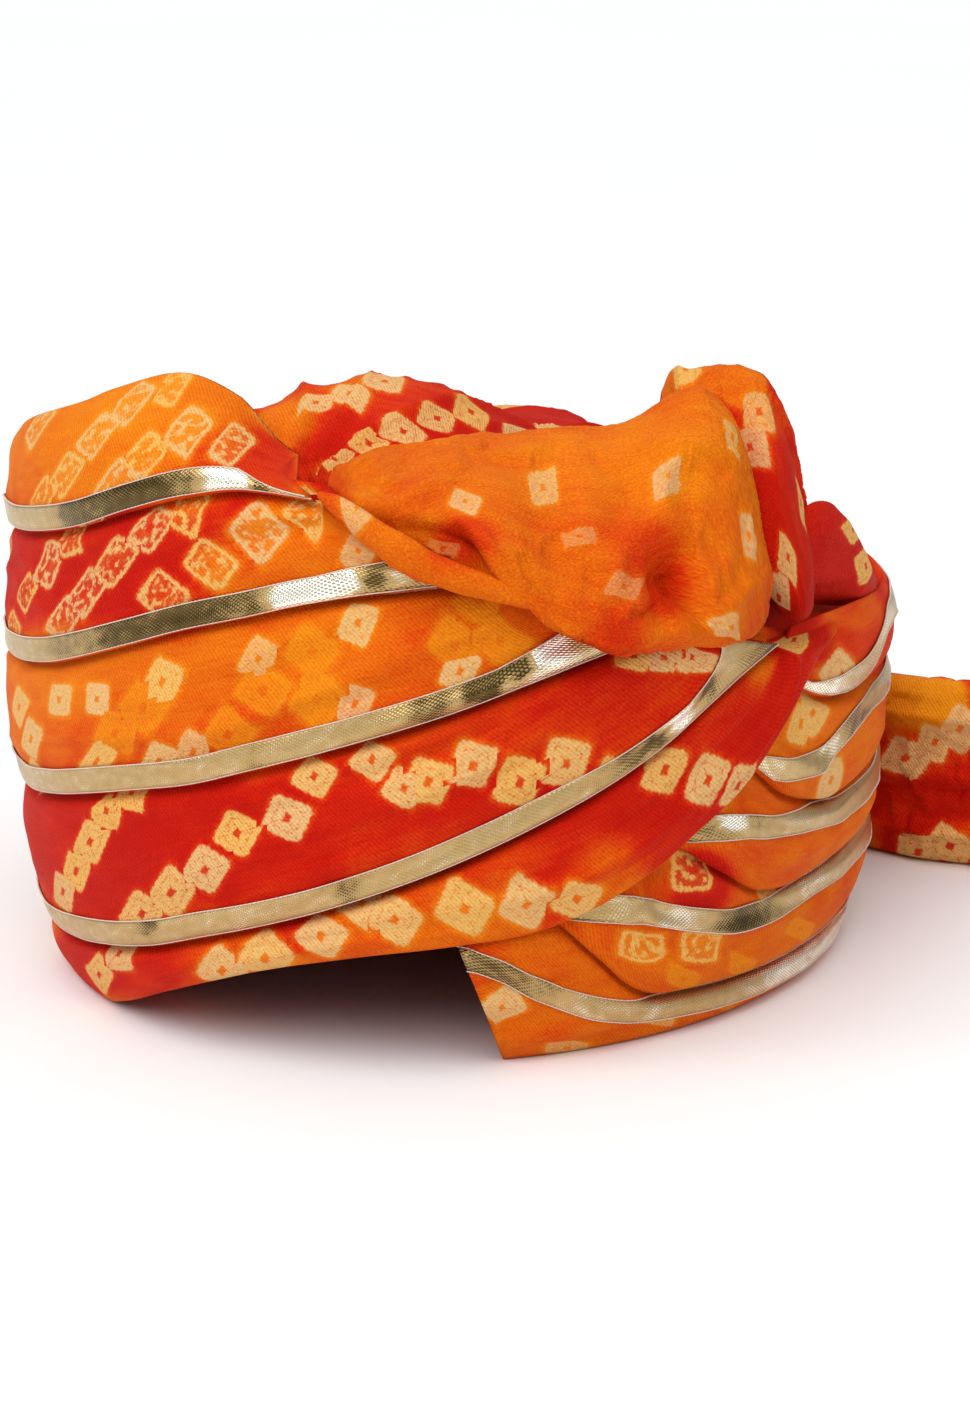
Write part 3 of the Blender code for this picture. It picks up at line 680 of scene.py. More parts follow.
def wind_sides(winding):
    """Five turns round the wearer's left, tucked under the front turns at both ends."""
    def sizes(angle, height):
        full = side_fullness(angle, height)
        return UNDER_GAP, CLOTH_THIN + (SIDE_CLOTH - CLOTH_THIN) * full, SIDE_STEP * full

    for number in range(5, 0, -1):
        turn = Turn(
            lambda angle, n=number: along(SIDE_FOLDS[n], angle),
            lambda angle, n=number - 1: along(SIDE_FOLDS[n], angle),
            (SIDE_STARTS[number], SIDE_ENDS[number]),
            (SIDE_STARTS[number - 1], SIDE_ENDS[number - 1]),
            sizes,
            seed=10 + number,
            pull=lambda angle: ease((105 - angle) / 50),
            open_top=number == 1,
        )
        winding.add_turn(f"side_turn_{number}", turn)
        # The ribbon narrows where its turn is lower than the ribbon is wide
        middle = along(SIDE_RIBBONS[number], (turn.at_low + turn.at_high) / 2) - turn.bottom
        start = np.clip(middle - RIBBON_WIDTH / 2, 0.04 * turn.tall, 0.8 * turn.tall)
        end = np.minimum(np.maximum(middle + RIBBON_WIDTH / 2, start + 0.12 * turn.tall), 0.96 * turn.tall)

        def shown(angle, height, tuck=SIDE_RIBBON_TUCKS[number], last=SIDE_RIBBON_ENDS[number]):
            return (crossing_angle(height) - tuck <= angle) & (angle <= last)

        winding.add_ribbon(f"side_ribbon_{number}", turn, start, end, shown, 20 + number)


# The crown and the padded wall


def top_height(angle):
    """The height of the turns' top edge."""
    front = front_edge(6, angle)
    side = along(SIDE_FOLDS[0], angle)
    return np.where(angle <= 0, front, np.where(angle >= 76, side, along(UNDER_KNOT, angle)))


def seat_height(angle):
    """The height of the crown's border, which the turns cover."""
    at_front = ease((angle + 60) / 40) * ease((40 - angle) / 30)
    return top_height(angle) - BORDER_DROP - FRONT_DROP * at_front


def rim_height(angle):
    """The height of the padded wall's rim, which follows the arch over the forehead."""
    under_front = front_edge(1, np.minimum(angle, 24)) + ARCH_CLEARANCE
    return under_front * ease((angle + 38) / 4) * ease((34 - angle) / 4)


def crown_points(angle, reach):
    """The crown at shares of the way out from its middle: a dome with the puff on it."""
    border = seat_height(angle)
    edge = wall_points(angle, border, -BORDER_INSET)
    x, y = edge[..., 0] * reach, edge[..., 1] * reach
    across, back = level_turned(x, y)
    middle, width = PUFF_MIDDLE, PUFF_REACH
    from_puff = np.hypot((across - middle[0]) / width[0], (back - middle[1]) / width[1])
    puff = PUFF_HEIGHT * np.exp(-from_puff ** 2) * (1 - reach ** 8)
    height = border + (CROWN_TOP - border) * (1 - reach ** 2.4) + puff
    return np.stack([x, y, height], axis=-1)


def crown_folds(points, reach):
    """How far the crown's pleats and wrinkles stand out from its dome."""
    across, back, _ = in_turned(points)
    near = np.hypot(across - GATHER_POINT[0], back - GATHER_POINT[1])
    bearing = np.arctan2(back - GATHER_POINT[1], across - GATHER_POINT[0])
    wander = noise(across / 40, back / 40, 0, 31)
    pleat = 1 - np.abs(np.sin(bearing * GATHER_COUNT / 2 + 1.4 * wander)) ** 0.7
    depth = GATHER_DEPTH * np.exp(-near / 60) * ease(near / 8) + FAR_DEPTH
    finer = 1 - np.abs(np.sin(bearing * GATHER_COUNT * 1.5 + 2.2 * wander)) ** 0.7
    folds = depth * (pleat - 0.4) + FINER_DEPTH * ease((near - 40) / 40) * (finer - 0.4)
    folds = folds + 0.9 * noise(across / 17, back / 23, 1, 32)
    folds = folds + 0.5 * (0.5 - np.abs(noise(across / 9, back / 14, 2, 33)))
    return folds * ease((0.9 - reach) / 0.12)


def crown():
    """The gathered cloth over the head, settled, with its border held under the turns."""
    angle = np.arange(-180, 180, CROWN_STEP)[:, None]
    reach = np.maximum(np.linspace(1, 0, CROWN_ROWS)[None] ** 0.9, 1e-4)
    dome = crown_points(angle, reach)
    from_top = running_length(dome[:, ::-1], 1)[:, ::-1, None]
    turn = np.arctan2(dome[..., 1], dome[..., 0])[..., None]
    flat = from_top * np.concatenate([np.cos(turn), np.sin(turn)], axis=-1)
    flat = np.concatenate([flat, flat[:1]])
    round_it = np.roll(dome, -1, axis=0) - np.roll(dome, 1, axis=0)
    normal = unit(np.cross(np.gradient(dome, axis=1), round_it))
    normal *= np.sign(normal[..., 2:])
    normal[:, -1] = (0, 0, 1)
    piece = ring_sheet("crown_cloth", dome + normal * crown_folds(dome, reach)[..., None], flat)
    seen = positions(piece) / MM - AXIS
    from_border = 1 - np.hypot(seen[:, 0] / HALF_WIDTH, seen[:, 1] / HALF_LENGTH)
    settle(piece, 1 - ease((from_border - HELD_BORDER) / HOLD_FADES), pressure=0.5, cap=2.2)
    thicken(piece, CROWN_CLOTH)
    return piece


def wall_ring():
    """The padded wall: soft channels of earlier turns inside, smooth where the outer turns hide it."""
    angle = np.arange(-180, 180, 2.0)[:, None]
    low = rim_height(angle)
    high = seat_height(angle) - WALL_TOP_GAP
    loops = []
    for row in np.linspace(0.02, 1, 12):
        loops.append(wall_points(angle, low + (high - low) * row, -0.2))
    for reach in (0.93, 0.86, 0.8, 0.75):
        lowered = crown_points(angle, np.full_like(angle, reach))
        lowered[..., 2] = np.minimum(lowered[..., 2] - 6.0, high + 30)
        loops.append(lowered)
    top = loops[-1][..., 2]
    for row in np.linspace(0.9, 0.0, 30):
        height = low + (top - low) * row
        swell = WALL_THICK + WALL_SWELL * ease(height / 60)
        bulge = np.abs(np.sin(height / CHANNEL_HEIGHT * math.pi + angle / CHANNEL_TILT)) ** 0.6
        crinkle = 0.8 * noise(angle / 9, height / 12, 0, 41) + 0.4 * noise(angle / 3, height / 20, 1, 41)
        edge = np.sqrt(np.clip((height - low) / 5, 0, 1))
        depth = swell - CHANNEL_DEPTH + (CHANNEL_DEPTH * bulge + crinkle) * edge
        loops.append(wall_points(angle, height + 0.6 * (1 - edge), -depth))
    for depth in (WALL_THICK * 0.82, WALL_THICK * 0.35, 3.0):
        loops.append(wall_points(angle, low, -depth))
    grid = np.concatenate(loops, axis=1)
    across = running_length(np.concatenate([grid, grid[:, :1]], axis=1), 1)
    run = running_length(np.concatenate([grid, grid[:1]]).mean(axis=1), 0)[:, None]
    flat = np.stack(np.broadcast_arrays(run, np.concatenate([across, across[:1]])), axis=-1)
    return ring_sheet("padded_wall_cloth", grid, flat)


# The knot and the tail


def lobe(table, sections, sides, swell_power=0.85):
    """Loops of a puffed loop of cloth whose sections lean back from a low edge to a high one."""
    rows = spread(table, sections)
    low, high = rows[:, None, 1:3], rows[:, None, 3:5]
    middle, reach = (low + high) / 2, (high - low) / 2
    length = np.linalg.norm(reach, axis=-1, keepdims=True)
    outward = np.stack([-reach[..., 1], reach[..., 0]], axis=-1) / length
    turn = np.linspace(0, 2 * math.pi, sides, endpoint=False)[None, :, None]
    sin = np.sin(turn)
    swell = np.where(sin > 0, rows[:, None, 5:6], rows[:, None, 6:7])
    rounded = np.sign(sin) * np.abs(sin) ** swell_power
    place_at = middle + reach * np.cos(turn) + outward * swell * rounded
    return turned(rows[:, None, 0], place_at[..., 0], place_at[..., 1])


def swept(table, sections, sides):
    """Loops of a soft roll along a path: an oval section across the path, rolled about it."""
    rows = spread(table, sections)
    path = turned(rows[:, 0], rows[:, 1], rows[:, 2])
    heading = unit(np.gradient(path, axis=0))
    level = unit(np.cross(heading, (0, 0, 1)))
    upright = np.cross(level, heading)
    roll = np.radians(rows[:, 5:6])
    wide = level * np.cos(roll) + upright * np.sin(roll)
    thick = upright * np.cos(roll) - level * np.sin(roll)
    turn = np.linspace(0, 2 * math.pi, sides, endpoint=False)[None, :, None]
    sin = np.sin(turn)
    folded = np.sign(sin) * np.abs(sin) ** 1.35
    return (path[:, None] + wide[:, None] * rows[:, 3, None, None] * np.cos(turn)
            + thick[:, None] * rows[:, 4, None, None] * folded)


def outward_of(loops):
    """The outward direction at each point of a tube's loops."""
    along_it = np.gradient(loops, axis=0)
    round_it = np.roll(loops, -1, axis=1) - np.roll(loops, 1, axis=1)
    normal = unit(np.cross(round_it, along_it))
    away = loops - loops.mean(axis=1, keepdims=True)
    return normal * np.sign((normal * away).sum(axis=(0, 1, 2)))


def level_turned(x, y):
    """Across and back of level places, in the axes turned by TURN."""
    cos, sin = math.cos(TURN), math.sin(TURN)
    return x * cos + y * sin, y * cos - x * sin


def in_turned(points):
    """Across, back and up of points, in the axes turned by TURN."""
    return *level_turned(points[..., 0], points[..., 1]), points[..., 2]


# Columns: across and up where a fold starts and ends on the main lobe, how far it stands out, its width
LOBE_FOLDS = (
    (61, 141, 62, 132, -12.0, 8.0),
    (64, 139, 65, 125, -5.5, 1.9),
    (47, 156, 59, 143, -5.0, 8.0),
    (70, 138, 72, 127, 2.5, 4.0),
    (42, 125, 82, 123, 1.5, 3.0),
    (50, 131, 62, 127, -2.4, 1.8),
    (62, 168, 46, 146, 1.8, 5.0),
    (72, 168, 76, 136, 2.2, 6.0),
    (8, 158, 36, 132, 1.6, 5.0),
    (22, 156, 44, 136, -1.8, 4.5),
    (68, 128, 84, 134, 1.0, 2.5),
    (20, 163, 52, 158, -1.2, 4.0),
)
# The turned corner at the top left of the crest, and how far it stands out
CORNER_FOLD = ((60, 162), (62.5, 180))
CORNER_RISE = 1.2
# Columns: up, across. The folded edge where the bloom's big lobe stands over the hollow at its left
LOBE_EDGE = ((124, 44), (127, 34), (131, 25), (137, 18), (141.5, 13.5), (147.5, 9.5), (154, 6), (161, 1))
LOBE_EDGE_RISE = 2.4
HOLLOW_DEPTH = 9.5


def along_fold(across, up, start, end, width):
    """How near points are to a fold, from 0 far away to 1 on it."""
    dx, dy = end[0] - start[0], end[1] - start[1]
    t = np.clip(((across - start[0]) * dx + (up - start[1]) * dy) / (dx * dx + dy * dy), 0, 1)
    away = np.hypot(across - start[0] - t * dx, up - start[1] - t * dy)
    return np.exp(-(away / width) ** 2)


def crumple(across, back, up, seed):
    """How bunched crepe cloth stands out and in: broad swells, soft ridges and fine crinkles."""
    broad = 0.8 * noise(across / 17, up / 13, back / 22, seed)
    ridge = 0.5 - np.abs(noise(across / 9 + up / 26, up / 17, back / 24, seed + 1))
    small = 0.5 - np.abs(noise(across / 5.5, up / 7.5 + across / 20, back / 9, seed + 2))
    fine = noise(across / 2.6, up / 3.1, back / 3.5, seed + 3)
    return broad + 0.9 * ridge + 0.5 * small + 0.12 * fine


def bloom_relief(across, up):
    """The folds and the pocket of the bloom, its folded edge, and the hollow beside that edge."""
    shift = 0.0
    for x1, y1, x2, y2, rise, width in LOBE_FOLDS:
        shift = shift + rise * along_fold(across, up, (x1, y1), (x2, y2), width)
    past = across - along(LOBE_EDGE, up)
    below = ease((159 - up) / 7)
    edge = LOBE_EDGE_RISE * np.exp(-((past - 1.8) / 2.8) ** 2)
    hollow = HOLLOW_DEPTH * ease(-past / 2.6) * np.exp(np.minimum(past, 0) / 15)
    return shift + (edge - hollow) * below


def loop_of_cloth(name, loops, relief):
    """A closed body through loops of points, moved out and in by a relief in the turned axes."""
    outward = outward_of(loops)
    stands = relief(outward, *in_turned(loops))
    return tube(name, loops + outward * stands[..., None], both_ways=True)


def bloom():
    """The big loop of the knot: a lobe that is folded over the pouch at its left."""
    def relief(outward, across, back, up):
        front = ease((outward * turned(0, -0.8, 0.35)).sum(axis=-1) * 2.5)
        return crumple(across, back, up, 51) + bloom_relief(across, up) * front

    piece = loop_of_cloth("knot_bloom_cloth", lobe(BLOOM, sections=200, sides=130), relief)
    settle(piece, held_behind(piece), pressure=1.2, cap=2.0)
    return piece


def held_behind(piece):
    """Holds the points at the rear of a loop and lets those in front go."""
    points = positions(piece)
    back = (points[:, 1] - AXIS[1] * MM) * math.cos(TURN) - (points[:, 0] - AXIS[0] * MM) * math.sin(TURN)
    return ease((back - back.min()) / np.ptp(back) * 2.2 - 0.9)


def lower_fold():
    """The soft roll that shows under the left part of the bloom."""
    def relief(_, across, back, up):
        return 0.7 * crumple(across, back, up, 61)

    return loop_of_cloth("knot_fold_cloth", swept(LOWER_FOLD, sections=110, sides=48), relief)


def crest():
    """The loop behind the main lobe, with its folds running up it."""
    def relief(_, across, back, up):
        lengthwise = 0.5 - np.abs(noise(across / 6 + up / 60, back / 24, up / 45, 71))
        corner = CORNER_RISE * along_fold(across, up, *CORNER_FOLD, 3.0) * ease((up - 150) / 10)
        return 1.5 * lengthwise + 0.6 * crumple(across, back, up, 72) + corner - 1.2

    piece = loop_of_cloth("knot_crest_cloth", lobe(CREST, sections=130, sides=120), relief)
    settle(piece, held_behind(piece), pressure=1.0, cap=1.5)
    return piece


def tuck():
    """The end of the knot, folded down and tucked away along the wearer's left."""
    def relief(_, across, back, up):
        ridge = 0.5 - np.abs(noise(up / 6 + back / 40, back / 30, 0, 81))
        return 1.5 * ridge + 0.6 * crumple(across, back, up, 82)

    return loop_of_cloth("knot_tuck_cloth", swept(TUCK, sections=100, sides=72), relief)


# How many pleats run along the tail
TAIL_PLEATS = 3


def tail():
    """The loose end: pleats that run along it, standing on their edges."""
    rows = spread(TAIL, 120)
    heading = unit(np.gradient(rows[:, :2], axis=0))
    away = np.stack([heading[:, 1], -heading[:, 0]], axis=1)
    share = np.linspace(0, 1, 46)
    run = running_length(rows[:, :2], 0)[:, None]
    loops = []
    for side, order in ((1, share), (-1, share[::-1])):
        part = order[None] + 0.03 * noise(run / 60, order[None] * 3, 0, 91)
        pleat = np.abs(np.cos(math.pi * TAIL_PLEATS * part)) ** 0.55
        ends = np.sqrt(np.clip(np.minimum(order, 1 - order)[None] / 0.06, 0, 1))
        crinkle = 0.05 * noise(run / 30, part * 26, side, 92) + 0.03 * noise(run / 7, part * 14, side, 93)
        wide = rows[:, 3:4] * (0.60 + 0.40 * (1 - pleat) + crinkle) * (0.25 + 0.75 * ends) * side
        lift = rows[:, 2:3] * order[None] * (1 + 0.012 * noise(run / 25, order[None], 5, 94))
        across, back = (rows[:, i:i + 1] + away[:, i:i + 1] * wide for i in (0, 1))
        loops.append(turned(across, back, lift))
    piece = tube("tail_cloth", np.concatenate(loops, axis=1), run[:, 0])
    height = positions(piece)[:, 2] / MM
    settle(piece, np.where(height < FOOT_HEIGHT, 1, TAIL_HOLD), pressure=0.6, cap=1.2)
    return piece


# The photograph's view


EYE_TARGET = AXIS + turned(9.0, 0.0, 68.3)
EYE_RISE = math.radians(15)
EYE_FAR = 1200.0
EYE_FOCUS = 4000.0
IMAGE_SIZE = (970, 1404)
RIGHT = turned(1.0, 0.0, 0.0)
BACK = turned(0.0, -math.cos(EYE_RISE), math.sin(EYE_RISE))
UP = np.cross(BACK, RIGHT)
EYE = EYE_TARGET + BACK * EYE_FAR


def pixels(points):
    """Where points in metres show in the photograph."""
    away = points / MM - EYE
    depth = -(away @ BACK)
    across, up = away @ RIGHT, away @ UP
    return np.stack([IMAGE_SIZE[0] / 2 + across / depth * EYE_FOCUS,
                     IMAGE_SIZE[1] / 2 - up / depth * EYE_FOCUS], axis=-1)


def sight_line(x, y):
    """The direction in which a pixel of the photograph looks."""
    across, up = (x - IMAGE_SIZE[0] / 2) / EYE_FOCUS, (IMAGE_SIZE[1] / 2 - y) / EYE_FOCUS
    return Vector(RIGHT * across + UP * up - BACK).normalized()


# The tie-dye


# How the dye runs, charted on each part, with painted shade in the bloom's pocket and hollow and inside
# the arch, and painted light on the tail's top. Columns: pixel across and down, reach in pixels, dye
# from 0, deep red, through 1, orange, to 2, yellow
DYE_AND_PAINTED_SHADE_PATCHES = {
    "front": (
        (60, 450, 60, 1.2), (110, 400, 50, 1.4), (180, 395, 50, 1.25), (150, 470, 40, 1.1),
        (225, 455, 36, 0.6), (265, 465, 30, 0.4), (50, 500, 40, 1.05), (195, 485, 32, 0.7),
        (40, 560, 55, 0.1), (100, 600, 60, 0.0), (140, 545, 45, 0.1), (195, 525, 28, 0.35),
        (230, 560, 36, 0.8), (300, 540, 50, 1.05), (180, 620, 30, 0.3), (270, 590, 45, 0.95),
        (345, 575, 45, 1.05), (60, 670, 50, 1.15), (35, 735, 36, 1.0), (120, 735, 50, 0.8),
        (190, 670, 50, 1.1), (250, 725, 50, 0.7), (310, 665, 50, 1.1), (390, 650, 50, 0.95),
        (440, 660, 45, 0.8), (510, 625, 50, 0.9), (110, 650, 40, 1.25), (360, 710, 40, 0.8),
        (60, 830, 50, 0.1), (130, 860, 50, 0.05), (200, 815, 50, 0.05), (300, 860, 50, 0.15),
        (380, 850, 45, 0.45), (350, 800, 40, 0.2), (470, 825, 45, 0.25), (560, 820, 50, 0.15),
        (620, 720, 60, 0.42), (700, 720, 60, 0.32), (540, 725, 50, 0.45), (400, 755, 35, 0.55),
        (660, 800, 50, 0.15), (90, 960, 36, 0.1), (150, 955, 40, 0.3), (200, 940, 36, 0.6),
        (280, 915, 40, 0.3), (400, 885, 40, 0.7), (460, 865, 36, 0.55), (530, 850, 36, 0.5),
        (600, 865, 36, 0.8), (660, 845, 30, 0.35), (710, 800, 36, 0.15), (760, 745, 40, 0.15),
        (800, 690, 30, 0.15), (640, 895, 26, 1.0), (500, 910, 36, 0.95), (350, 935, 40, 0.8),
        (250, 960, 36, 0.85), (430, 925, 36, 0.9), (640, 650, 40, 0.3), (800, 640, 30, 0.15),
    ),
    "side": (
        (700, 882, 30, 0.05), (770, 885, 26, 0.9), (640, 935, 36, 0.9), (740, 960, 45, 1.0),
        (560, 990, 50, 0.95), (520, 1030, 45, 1.0), (650, 1010, 50, 1.0), (790, 970, 45, 1.0),
        (820, 880, 50, 0.95), (780, 805, 45, 0.9), (840, 790, 45, 1.0), (850, 735, 36, 1.1),
        (838, 645, 26, 0.5), (850, 610, 26, 0.85), (882, 650, 26, 0.5), (815, 720, 26, 0.95),
    ),
    "bloom": (
        (560, 465, 55, 1.1), (490, 470, 45, 1.05), (400, 480, 50, 1.05), (600, 550, 50, 0.85),
        (640, 560, 40, 0.66), (705, 450, 50, 1.2), (725, 550, 45, 1.05), (630, 460, 45, 1.25),
        # Painted shade: the pocket and the hollow at the lobe's edge are given a redder dye
        (540, 560, 45, 0.98), (462, 548, 30, 0.5), (710, 610, 36, 1.0), (668, 590, 24, 0.5),
        (390, 540, 36, 1.05), (470, 580, 36, 0.95), (560, 600, 36, 0.95),
    ),
    "crest": (
        (700, 370, 26, 1.0), (740, 380, 26, 1.05), (772, 420, 26, 0.6), (780, 460, 36, 0.3),
        (792, 520, 45, 0.2), (790, 580, 36, 0.15), (665, 385, 16, 1.15), (840, 550, 45, 0.0),
        (800, 605, 36, 0.05),
    ),
    "crown": (
        (300, 420, 22, 1.25), (345, 385, 26, 0.95), (335, 430, 36, 0.2), (400, 395, 36, 0.5),
        (450, 440, 40, 0.1), (525, 430, 40, 0.1), (410, 450, 36, 0.1), (275, 430, 22, 1.1),
    ),
    "tail": (
        # Painted light: the tail's top is given a yellower dye to look brighter
        (930, 700, 36, 1.9), (900, 700, 26, 1.7), (900, 775, 50, 0.25), (940, 765, 40, 0.3),
        (920, 850, 36, 0.05), (945, 800, 30, 0.15),
    ),
    # Painted shade: the padded wall inside the arch is dyed below deep red to look dark
    "wall": ((480, 1000, 40, -0.4),),
}

# The tied squares that the photograph shows, charted. Each row has the part it lies on, a kind,
# a width and a height in pixels as they show, a lean in degrees, and then its squares' places in pixels
SQUARE_ROWS = (
    ("front", "full", 26, 34, 22, (63, 892), (76, 871), (90, 842), (106, 811), (132, 792)),
    ("front", "full", 36, 36, 28, (142, 914), (171, 893), (205, 870), (237, 833), (287, 818)),
    ("front", "full", 36, 34, 30, (314, 776), (372, 760), (404, 788)),
    ("front", "full", 40, 44, 18, (428, 782), (473, 766), (520, 783), (566, 764), (613, 780), (665, 770)),
    ("front", "full", 32, 44, 20, (708, 780), (738, 785)),
    ("front", "full", 30, 34, 30, (99, 975), (119, 953)),
    ("front", "full", 42, 34, 30, (222, 971), (265, 959), (321, 936), (362, 903), (395, 920)),
    ("front", "full", 46, 38, 24, (465, 909), (527, 905), (577, 899)),
    ("front", "full", 34, 26, 4, (606, 652), (634, 655), (664, 658), (692, 657)),
    ("front", "full", 26, 46, 6, (763, 652), (794, 640), (817, 628)),
    ("front", "full", 20, 28, 6, (59, 700), (97, 699)),
    ("front", "full", 24, 34, 30, (19, 707), (31, 739), (36, 775), (96, 762), (158, 762)),
    ("front", "full", 30, 38, 24, (162, 682), (358, 623), (460, 671)),
    ("front", "pale", 28, 36, 24, (258, 659), (355, 704), (358, 551), (193, 752)),
    ("front", "faint", 44, 36, 30, (115, 733), (143, 707), (228, 735), (263, 690), (312, 652), (317, 700)),
    ("front", "faint", 44, 36, 34, (455, 645), (480, 602), (500, 640)),
    ("front", "ring", 19, 44, 24, (11, 548), (24, 593), (13, 630), (49, 564), (71, 537), (92, 520)),
    ("front", "ring", 26, 46, 34, (62, 620), (85, 593), (114, 562), (150, 528), (187, 508)),
    ("front", "ring", 46, 36, 38, (163, 596), (210, 564), (259, 531), (308, 512)),
    ("front", "ring", 20, 46, 36, (42, 497), (65, 475), (96, 435), (132, 402), (172, 386)),
    ("front", "ring", 28, 44, 40, (116, 484), (145, 455), (188, 430), (232, 444), (38, 424)),
    ("crown", "full", 40, 24, 20, (334, 458), (369, 444), (403, 431), (437, 418), (471, 412)),
    ("crown", "full", 42, 20, 10, (504, 405), (521, 434), (550, 430), (385, 381), (349, 393), (315, 402)),
    ("bloom", "pale", 30, 34, -8, (357, 506), (543, 487)),
    ("bloom", "pale", 20, 38, -8, (749, 536)),
    ("bloom", "pale", 34, 38, -14, (668, 476)),
    ("bloom", "pale", 44, 20, -14, (732, 628)),
    ("bloom", "pale", 32, 20, 20, (465, 501)),
    ("bloom", "veiled", 36, 14, -14, (580, 536)),
    ("bloom", "veiled", 34, 26, 30, (624, 586), (443, 549)),
    ("bloom", "pale", 12, 34, 14, (732, 437)),
    ("crest", "pale", 34, 42, -14, (759, 411), (750, 447)),
    ("crest", "full", 24, 50, 10, (801, 503)),
    ("crest", "full", 36, 54, 12, (788, 557), (779, 598)),
    ("crest", "full", 36, 18, 4, (685, 370), (752, 369)),
    ("crest", "full", 26, 34, -28, (866, 566)),
    ("crest", "full", 20, 26, -40, (853, 530)),
    ("side", "full", 30, 44, 40, (842, 676), (813, 713)),
    ("side", "full", 20, 40, 14, (801, 724), (831, 780)),
    ("side", "ring", 56, 36, -4, (693, 871)),
    ("side", "full", 16, 22, -30, (769, 897)),
    ("side", "ring", 56, 26, 6, (643, 948), (702, 947)),
    ("side", "faint", 36, 18, 24, (684, 979), (743, 967), (725, 1000), (795, 967), (801, 929)),
    ("side", "full", 34, 22, -30, (502, 1008)),
    ("side", "pale", 56, 14, 6, (655, 1017), (567, 1048)),
    ("tail", "full", 32, 36, 30, (905, 758), (935, 742), (960, 728)),
    ("tail", "full", 38, 34, 20, (888, 852), (918, 852), (950, 846)),
)
# What each kind of square is like: how strongly it shows, how hollow it is, how pink, and how yellow
SQUARE_KINDS = {
    "full": (1.0, 0.0, 0.12, 0.0),
    "pale": (0.88, 0.1, 0.75, 0.0),
    "faint": (0.62, 0.25, 0.0, 1.5),
    "veiled": (0.35, 0.0, 0.6, 0.0),
    "ring": (0.95, 1.0, 0.12, 0.0),
}
# Rows of squares where the photograph doesn't look, in mm: how far apart the rows and their squares
# are, half a square's size, how steeply a row climbs, and how far they keep from what it shows
ROW_SPACING = 46.0
SQUARE_SPACING = 17.0
SQUARE_HALF = 6.4
ROW_CLIMB = math.radians(48)
SEEN_MARGIN = 8.0
# How far a square may lie from the middle of the nearest face and still be on the cloth, in mm
OFF_CLOTH = 5
# How much those rows vary: the start of a row and the place of a square, as shares of the spacings, how
# many degrees a square turns, and the least and the range of its size
START_VARIES = 0.35
PLACE_VARIES = 0.2
TURN_VARIES = 14
LEAST_SIZE = 0.85
SIZE_VARIES = 0.3
NO_SQUARE = 9.0
# How much larger than charted the squares are made, how much that varies, and how many degrees they turn
SQUARE_GROWTH = 1.26
PART_GROWTHS = {"bloom": 1.04, "crown": 1.1, "crest": 1.1}
GROWTH_VARIES = 0.14
SQUARE_JITTER = 8
# The most and least, in mm, that half of a charted square may measure on the cloth
LONGEST_HALF = 9.0
SHORTEST_HALF = 2.5
# How many layers a line of sight goes through at most, and the step past each, in metres
MOST_LAYERS = 12
STEP_PAST = 1e-4
# One in this many faces is asked whether the photograph shows it, and how exactly, in metres
PROBE_EVERY = 9
PROBE_CLOSE = 0.002
# The first ribbon's seed for the painted reflection that isn't charted
PAINTED_REFLECTION_SEED = 200
# How quickly a charted patch fades towards its reach and past it
PATCH_FADES = 2.2
# Half the width, in a square's own half sizes, of the faces that are given to it
SQUARE_TAKES = 1.8

# Painted reflections on the ribbons' gold, charted. Columns: pixel across and down, reach in pixels,
# painted reflection from -1, a dull dark reflection, through 0, plain gold, to 1, a bright highlight
PAINTED_REFLECTION_PATCHES = (
    (35, 520, 22, 0.1), (85, 510, 26, -0.75), (140, 500, 30, -0.9), (185, 487, 18, -0.5),
    (225, 480, 26, 1.0), (262, 482, 14, -0.8), (285, 488, 12, 0.3),
    (25, 656, 20, 0.1), (75, 645, 24, -0.35), (130, 632, 30, -0.8), (190, 618, 30, -0.85),
    (240, 606, 24, -0.6), (300, 592, 32, 1.0), (345, 583, 16, 0.8), (375, 577, 12, -0.7),
    (400, 576, 12, 0.4), (60, 775, 40, 0.1), (130, 775, 40, 0.05), (210, 765, 40, 0.1),
    (300, 748, 40, 0.1), (370, 728, 34, 0.0), (430, 705, 22, -0.6), (480, 683, 24, -0.9),
    (518, 667, 14, -0.8), (551, 651, 16, 1.0), (585, 642, 12, 0.2),
    (90, 925, 40, 0.1), (148, 925, 9, -0.7), (200, 928, 40, 0.1), (300, 915, 40, 0.1),
    (400, 880, 40, 0.05), (480, 840, 40, 0.1), (550, 805, 34, 0.0), (600, 772, 20, -0.2),
    (626, 757, 14, -0.6), (652, 738, 13, -0.9), (678, 716, 16, 1.0), (706, 684, 13, -0.75),
    (724, 660, 14, 0.2), (735, 815, 16, 0.9), (762, 815, 16, -0.3), (800, 822, 20, 0.2), (830, 745, 14, 0.5),
    (860, 720, 14, -0.6), (880, 650, 14, 0.1), (885, 620, 14, 0.3), (505, 948, 10, 0.8),
    (525, 960, 12, -0.7), (560, 978, 16, -0.3), (620, 1000, 30, 0.1), (700, 1000, 30, 0.1),
    (650, 905, 20, 0.1),
)


def charted(points, patches):
    """The charted value at points in metres, and how near the nearest patches are."""
    shown = pixels(points)
    total, weights = np.zeros(len(points)), np.full(len(points), 1e-9)
    for x, y, reach, value in patches:
        away = ((shown[:, 0] - x) ** 2 + (shown[:, 1] - y) ** 2) / reach ** 2
        weight = np.exp(-PATCH_FADES * away)
        total += weight * value
        weights += weight
    return total / weights, weights


def facing_photo(piece):
    """How much each point of a piece faces the photograph's view, from 0 to 1."""
    return ease(values_of(piece.data.vertices, "normal", 3) @ BACK * 4 + 0.3)


